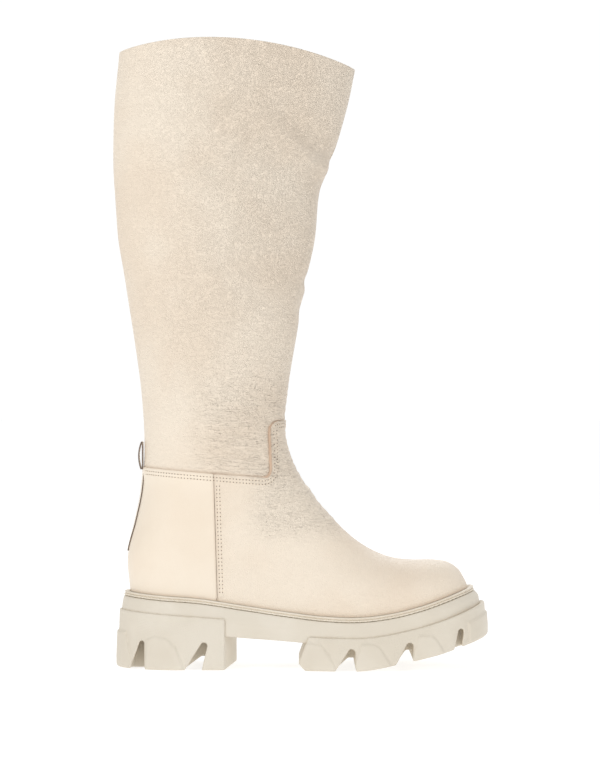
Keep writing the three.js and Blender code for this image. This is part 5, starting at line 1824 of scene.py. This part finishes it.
@dataclass
class Trim:
    """The dyed edge of the tongue, the heel strap, its pull loop, the facing and the leg's lining."""

    strap_half: float = 7.0
    strap_thick: float = 0.9
    strap_room: float = 0.15
    loop_foot: float = 157.2
    loop_top: float = 178.5
    loop_half: float = 6.2
    ribbon: float = 0.9
    bow: float = 2.0
    lining: float = 1.0
    lining_depth: float = 2.85
    lining_bevel: float = 0.3
    lining_columns: int = 230
    zip_margin: float = 0.6
    facing_foot: float = 0.9
    lining_foot: float = 10.0

    def make_edge(self) -> None:
        """Makes the thick dyed edge that runs round the tongue's corner and thins out along the heel."""
        path = resample(SEAMS.leg_path(-70, -15.5), 150)
        net = LAST.find(path, -1)
        p = LAST.point(net[:, 0], net[:, 1])
        out = LAST.normal(net[:, 0], net[:, 1])
        p = p + out * (DRAPE.relief(p) + 0.35)[:, None]
        upright = smooth(-34, -26, path[:, 0]) * (1 - smooth(186, 197, path[:, 1]))
        size = 0.3 + 0.95 * upright
        across = np.cross(out, unit(np.gradient(p, axis=0)))
        turn = np.linspace(0, 2 * np.pi, 11)[:, None, None]
        size = size[None, :, None]
        ring = np.cos(turn) * across[None] * size + np.sin(turn) * out[None] * size * 0.8
        obj, _ = grid("tongue_edge", p[None] + ring)
        weld(obj, 1e-6)
        edit(
            obj,
            lambda: bpy.ops.mesh.fill_holes(sides=12),
            lambda: bpy.ops.mesh.normals_make_consistent(inside=False),
        )
        finish(shade(obj), Slot.EDGE, TAN_EDGE)

    def on_heel(self, z: Points, values: Points) -> Points:
        """The values, one for each place on the heel's back line, read off at heights."""
        return np.interp(z, LAST.heel_line[::-1, 1], values[: len(LAST.heel_line)][::-1])

    def paint_edges(self, obj: Object, thick: float, offset: float, round_off: float) -> Object:
        """Gives a strip its thickness, with smooth leather on its faces and dark paint on its edges.

        Args:
            obj: The strip's net.
            thick: Its thickness in millimetres.
            offset: Where the net lies in it: -1 on its outer face, and 0 in its middle.
            round_off: How far its edges are rounded off, in millimetres.

        Returns:
            The strip.
        """
        mark_plain(obj)
        obj.data.materials.append(SMOOTH)
        obj.data.materials.append(EDGE_PAINT)
        modify(obj, "SOLIDIFY", thickness=thick * MM, offset=offset, material_offset_rim=1)
        return shade(bevel(obj, round_off), 40)

    def make_strap(self) -> None:
        """Makes the narrow strap up the heel's back seam, with dark painted edges."""
        z = np.linspace(157, 92, 60)
        y = np.linspace(self.strap_half, -self.strap_half, 15)
        taper = 1 - 0.35 * smooth(120, 92, z)
        near = np.linspace(0, 0.3, 60)
        rows = []
        for station, narrow in zip(self.on_heel(z, LAST.stations), taper):
            half = np.abs(LAST.point(station, -1 + near)[:, 1])
            w = np.interp(np.abs(y) * narrow, half, near)
            turn = np.where(y > 0, 1 - w, -1 + w)
            lift = self.strap_room + self.strap_thick
            rows.append(LAST.point(station, turn) + LAST.normal(station, turn) * lift)
        obj, _ = grid("heel_strap", np.array(rows))
        finish(self.paint_edges(obj, self.strap_thick, -1.0, 0.25), Slot.EDGE, nodes=["back_strap"])

    def make_loop(self) -> None:
        """Makes the ribbon loop above the strap, bowed away from the leg, with dark painted edges."""
        z = np.linspace(self.loop_foot, self.loop_top, 22)
        inner = float(np.min(self.on_heel(z, LAST.heel_line[:, 0]))) - 0.9
        rise = (z - self.loop_foot) / (self.loop_top - self.loop_foot)
        up = pairs(inner, z)
        down = pairs(inner - 1.0 - self.bow * np.sin(np.pi * rise) ** 0.8, z)[::-1]
        over = bend(up[-1], (inner - 0.5, self.loop_top + 1.2), down[0], 7)[1:-1]
        path = np.concatenate([up, over, down])
        y = np.linspace(self.loop_half, -self.loop_half, 9)
        points = np.empty((len(path), 9, 3))
        points[..., 0], points[..., 1], points[..., 2] = path[:, :1], y, path[:, 1:]
        obj, _ = grid("pull_ribbon", points)
        finish(self.paint_edges(obj, self.ribbon, 0.0, 0.2), Slot.EDGE, nodes=["pull_loop"])

    def ring(self, v0: float, v1: float, rows: int) -> Points:
        """A net right round the leg from one edge of the zip's opening to the other."""
        v = np.linspace(v0, v1, rows)
        half = SEAMS.slot_half + self.zip_margin
        rear = LAST.turn_at(v, np.full(rows, ZIP_X - half), 1) - 2
        front = LAST.turn_at(v, np.full(rows, ZIP_X + half), 1)
        share = np.linspace(0, 1, self.lining_columns)
        w = mix(rear[:, None], front[:, None], share[None])
        return np.stack([np.broadcast_to(v[:, None], w.shape), w], axis=-1)

    def facing_depth(self, p: Points) -> Points:
        """The facing's depth, which is least at the top line, so that it meets the leg's leather there."""
        along = np.sin(np.pi * np.clip((p[..., 0] + 145) / 189, 0, 1))
        below = 491 + 13 * along - 8 * smooth(-145, 44, p[..., 0]) - p[..., 2]
        return 1.45 + 1.35 * smooth(2, 16, below)

    def make_linings(self) -> None:
        """Makes the leather facing inside the top line and the leg's lining below it."""
        marks = plain_marks(0.35) | {"crease": lambda p: 0.15 * smooth(150, 300, p[..., 2])}
        seam = 0.02
        facing = self.ring(0, self.facing_foot, 24)
        lining = self.ring(self.facing_foot + seam, self.lining_foot, 150)
        for name, net, depth, node in (
            ("top_facing_band", facing, self.facing_depth, "top_facing"),
            ("leg_lining", lining, self.lining_depth, "shaft_lining"),
        ):
            layer = Layer(name, net, self.lining, depth, self.lining_bevel, marks=marks)
            finish(layer.build(), Slot.LINING, LINING, nodes=[node])

    def build(self) -> None:
        """Makes every piece of the trim."""
        self.make_edge()
        self.make_strap()
        self.make_loop()
        self.make_linings()


# ---- the zip


@dataclass
class Zip:
    """The metal teeth of the zip, with the slider and the puller that ride down it."""

    foot: float = 66.0
    lean: float = math.atan2(11, 425)
    depth: float = 2.2
    start: float = 8.5
    length: float = 406.0
    pitch: float = 3.2
    tooth: tuple = (2.9, 1.9, 1.45)
    reach: float = 1.55
    stops: tuple[str, ...] = ("zip_top_stop_front", "zip_top_stop_rear", "zip_bottom_stop")
    tab_half: tuple[float, float] = (6.5, 6.0)
    tab_z: float = 63.0
    tab_thick: float = 1.2
    tab_lift: float = 1.25

    def place_at(self, x: float, along: float) -> Matrix:
        """The place of something on the zip, x to the front and along up the chain."""
        y = LAST.line_half(np.array(self.foot)) - self.depth + along * math.sin(self.lean)
        z = self.foot + along * math.cos(self.lean)
        at = (np.array([ZIP_X + x, float(y), z]) + SHIFT) * MM
        return Matrix.Translation(Vector(at)) @ Matrix.Rotation(-self.lean, 4, "X")

    def make_tooth(self) -> Object:
        """One tooth: a small block with a rounded nose and a scoop across it."""
        deselect()
        bpy.ops.mesh.primitive_cube_add(size=MM)
        tooth = named("tooth")
        edit(tooth, lambda: bpy.ops.transform.resize(value=self.tooth))
        bevel(tooth, 0.32, 40)
        tooth.data.materials.append(BRASS)
        return tooth

    def make_row(self, name: str, side: int, node: str) -> None:
        """One row of teeth, on the front tape (+1) or the rear one (-1)."""
        first = self.start + (self.pitch / 2 if side < 0 else 0)
        places = [self.place_at(side * self.reach, z) for z in np.arange(first, self.length, self.pitch)]
        finish(shade(copies(name, self.make_tooth(), places), 40), Slot.METAL, nodes=[node])

    def make_tab(self) -> None:
        """Makes the small leather tab that closes the foot of the zip."""
        (wide, high), middle = self.tab_half, self.tab_z
        across = np.linspace(ZIP_X + wide, ZIP_X - wide, 27)
        x, z = np.meshgrid(across, np.linspace(middle + high, middle - high, 25))
        far = np.maximum(0, np.hypot((x - ZIP_X) / wide, (z - middle) / high) ** 4 - 1) * 0.12
        x, z = ZIP_X + (x - ZIP_X) * (1 - far), middle + (z - middle) * (1 - far)
        net = LAST.find(np.stack([x.ravel(), z.ravel()], axis=1), 1).reshape(*x.shape, 2)
        tab = Layer("zip_foot_tab", net, self.tab_thick, -self.tab_lift, bevel=0.3, marks=plain_marks(0.25))
        finish(tab.build(), Slot.SMOOTH, SMOOTH)

    def build(self) -> None:
        """Makes both rows and breaks the sharp edges of the slider and the puller."""
        self.make_row("teeth_front", 1, "zip_teeth_front")
        self.make_row("teeth_rear", -1, "zip_teeth_rear")
        self.make_tab()
        for name in ("zip_slider", "zip_puller", *self.stops):
            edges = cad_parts[name].modifiers.new("edges", "BEVEL")
            edges.width, edges.segments = 0.25 * MM, 2


# ---- the studio


@dataclass(frozen=True)
class SoftBox:
    """A round soft light: where it hangs, how wide it is, its power in watts and the point it faces."""

    name: str
    at: tuple[float, float, float]
    size: float
    power: float
    aim: tuple[float, float, float]

    def hang(self) -> None:
        """Hangs it in the scene."""
        lamp = bpy.data.lights.new(self.name, "AREA")
        lamp.shape, lamp.size, lamp.energy = "DISK", self.size, self.power
        obj = link(self.name, lamp)
        obj.location = self.at
        obj.rotation_euler = (Vector(self.aim) - Vector(self.at)).to_track_quat("-Z", "Y").to_euler()


@dataclass
class Studio:
    """The floor, the light and the camera."""

    distance: float = 2.4
    eye: float = 0.229
    lens: float = 142.0
    floor_glow: float = 0.72
    screen: float = 1.02
    dim: float = 0.61
    boxes: tuple[SoftBox, ...] = (
        SoftBox("key", (-1.3, -1.8, 1.7), 0.8, 19.0, (0, 0, 0.25)),
        SoftBox("fill", (1.6, -1.7, 0.7), 1.4, 7.0, (0, 0, 0.2)),
        SoftBox("rim", (0.3, 1.8, 1.5), 1.2, 10.0, (0, 0, 0.25)),
    )

    def make_floor(self) -> None:
        """Lays a plain pale floor."""
        deselect()
        bpy.ops.mesh.primitive_plane_add(size=30, location=(0, 0, 0))
        floor = named("studio_floor")
        g, surface = shader("pale_floor")
        grain = g.noise(g.place(), 3.0, 2.0)
        rough = g.math("MULTIPLY_ADD", grain, 0.1, 0.7)
        floor.data.materials.append(settle(g, surface, {
            "Base Color": (0.45, 0.45, 0.45, 1.0), "Roughness": rough, "Specular IOR Level": 0.0,
            "Emission Color": (1.0, 1.0, 1.0, 1.0), "Emission Strength": self.floor_glow,
        }))

    def make_camera(self) -> None:
        """Stands the camera level with the boot's middle, square to its outer side."""
        camera = bpy.data.cameras.new("camera")
        camera.lens = self.lens
        camera.sensor_width = 36.0
        obj = link("camera", camera)
        obj.location = (0, -self.distance, self.eye)
        obj.rotation_euler = (math.radians(90), 0, 0)
        bpy.context.scene.camera = obj

    def make_sky(self) -> None:
        """Hangs a white screen behind the boot and keeps the rest of the room a little dimmer."""
        world = bpy.data.worlds.new("studio")
        world.use_nodes = True
        g = Graph(world.node_tree)
        turned = g.add("SeparateXYZ", {0: g.add("TexCoord").outputs["Generated"]})
        white = g.step(turned.outputs["Y"], 0.55, 0.9)
        strength = g.math("MULTIPLY_ADD", white, self.screen - self.dim, self.dim)
        g.feed(world.node_tree.nodes["Background"], {"Color": (1.0, 1.0, 1.0, 1.0), "Strength": strength})
        bpy.context.scene.world = world

    def build(self) -> None:
        """Sets up the whole studio."""
        self.make_camera()
        self.make_floor()
        self.make_sky()
        bpy.context.scene.view_settings.view_transform = "Standard"
        for box in self.boxes:
            box.hang()


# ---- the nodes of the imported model


def dress_nodes() -> None:
    """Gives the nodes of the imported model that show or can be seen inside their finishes."""
    skins = (
        (LINING, "heel_lining", "vamp_lining", "shaft_lining", "top_facing", "sock_liner", "zip_guard"),
        (BOARD, "heel_counter", "toe_puff", "insole_board"),
        (STEEL, "shank"),
        (CORK, "cork_filler"),
        (TAPE, "zip_tape_front", "zip_tape_rear"),
        (BRASS, "zip_teeth_front", "zip_teeth_rear", "zip_slider", "zip_puller", *Zip.stops),
        (WELT_RUBBER, "welt"),
        (SOLE_RUBBER, "midsole"),
        (TREAD_RUBBER, "heel_tread", "forepart_tread"),
        (SMOOTH, "back_strap", "pull_loop"),
    )
    for skin, *names in skins:
        for name in names:
            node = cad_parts[name]
            node.data.materials.clear()
            node.data.materials.append(skin)


def main() -> None:
    """Builds the boot's looks, one sub-assembly after another."""
    logging.basicConfig(level=logging.INFO, format="%(name)s: %(message)s")
    deselect()
    Studio().build()
    dress_nodes()
    upper = Upper()
    upper.build()
    Bottom().build()
    Stitching().build(upper)
    Trim().build()
    Zip().build()


if __name__ == "__main__":
    main()
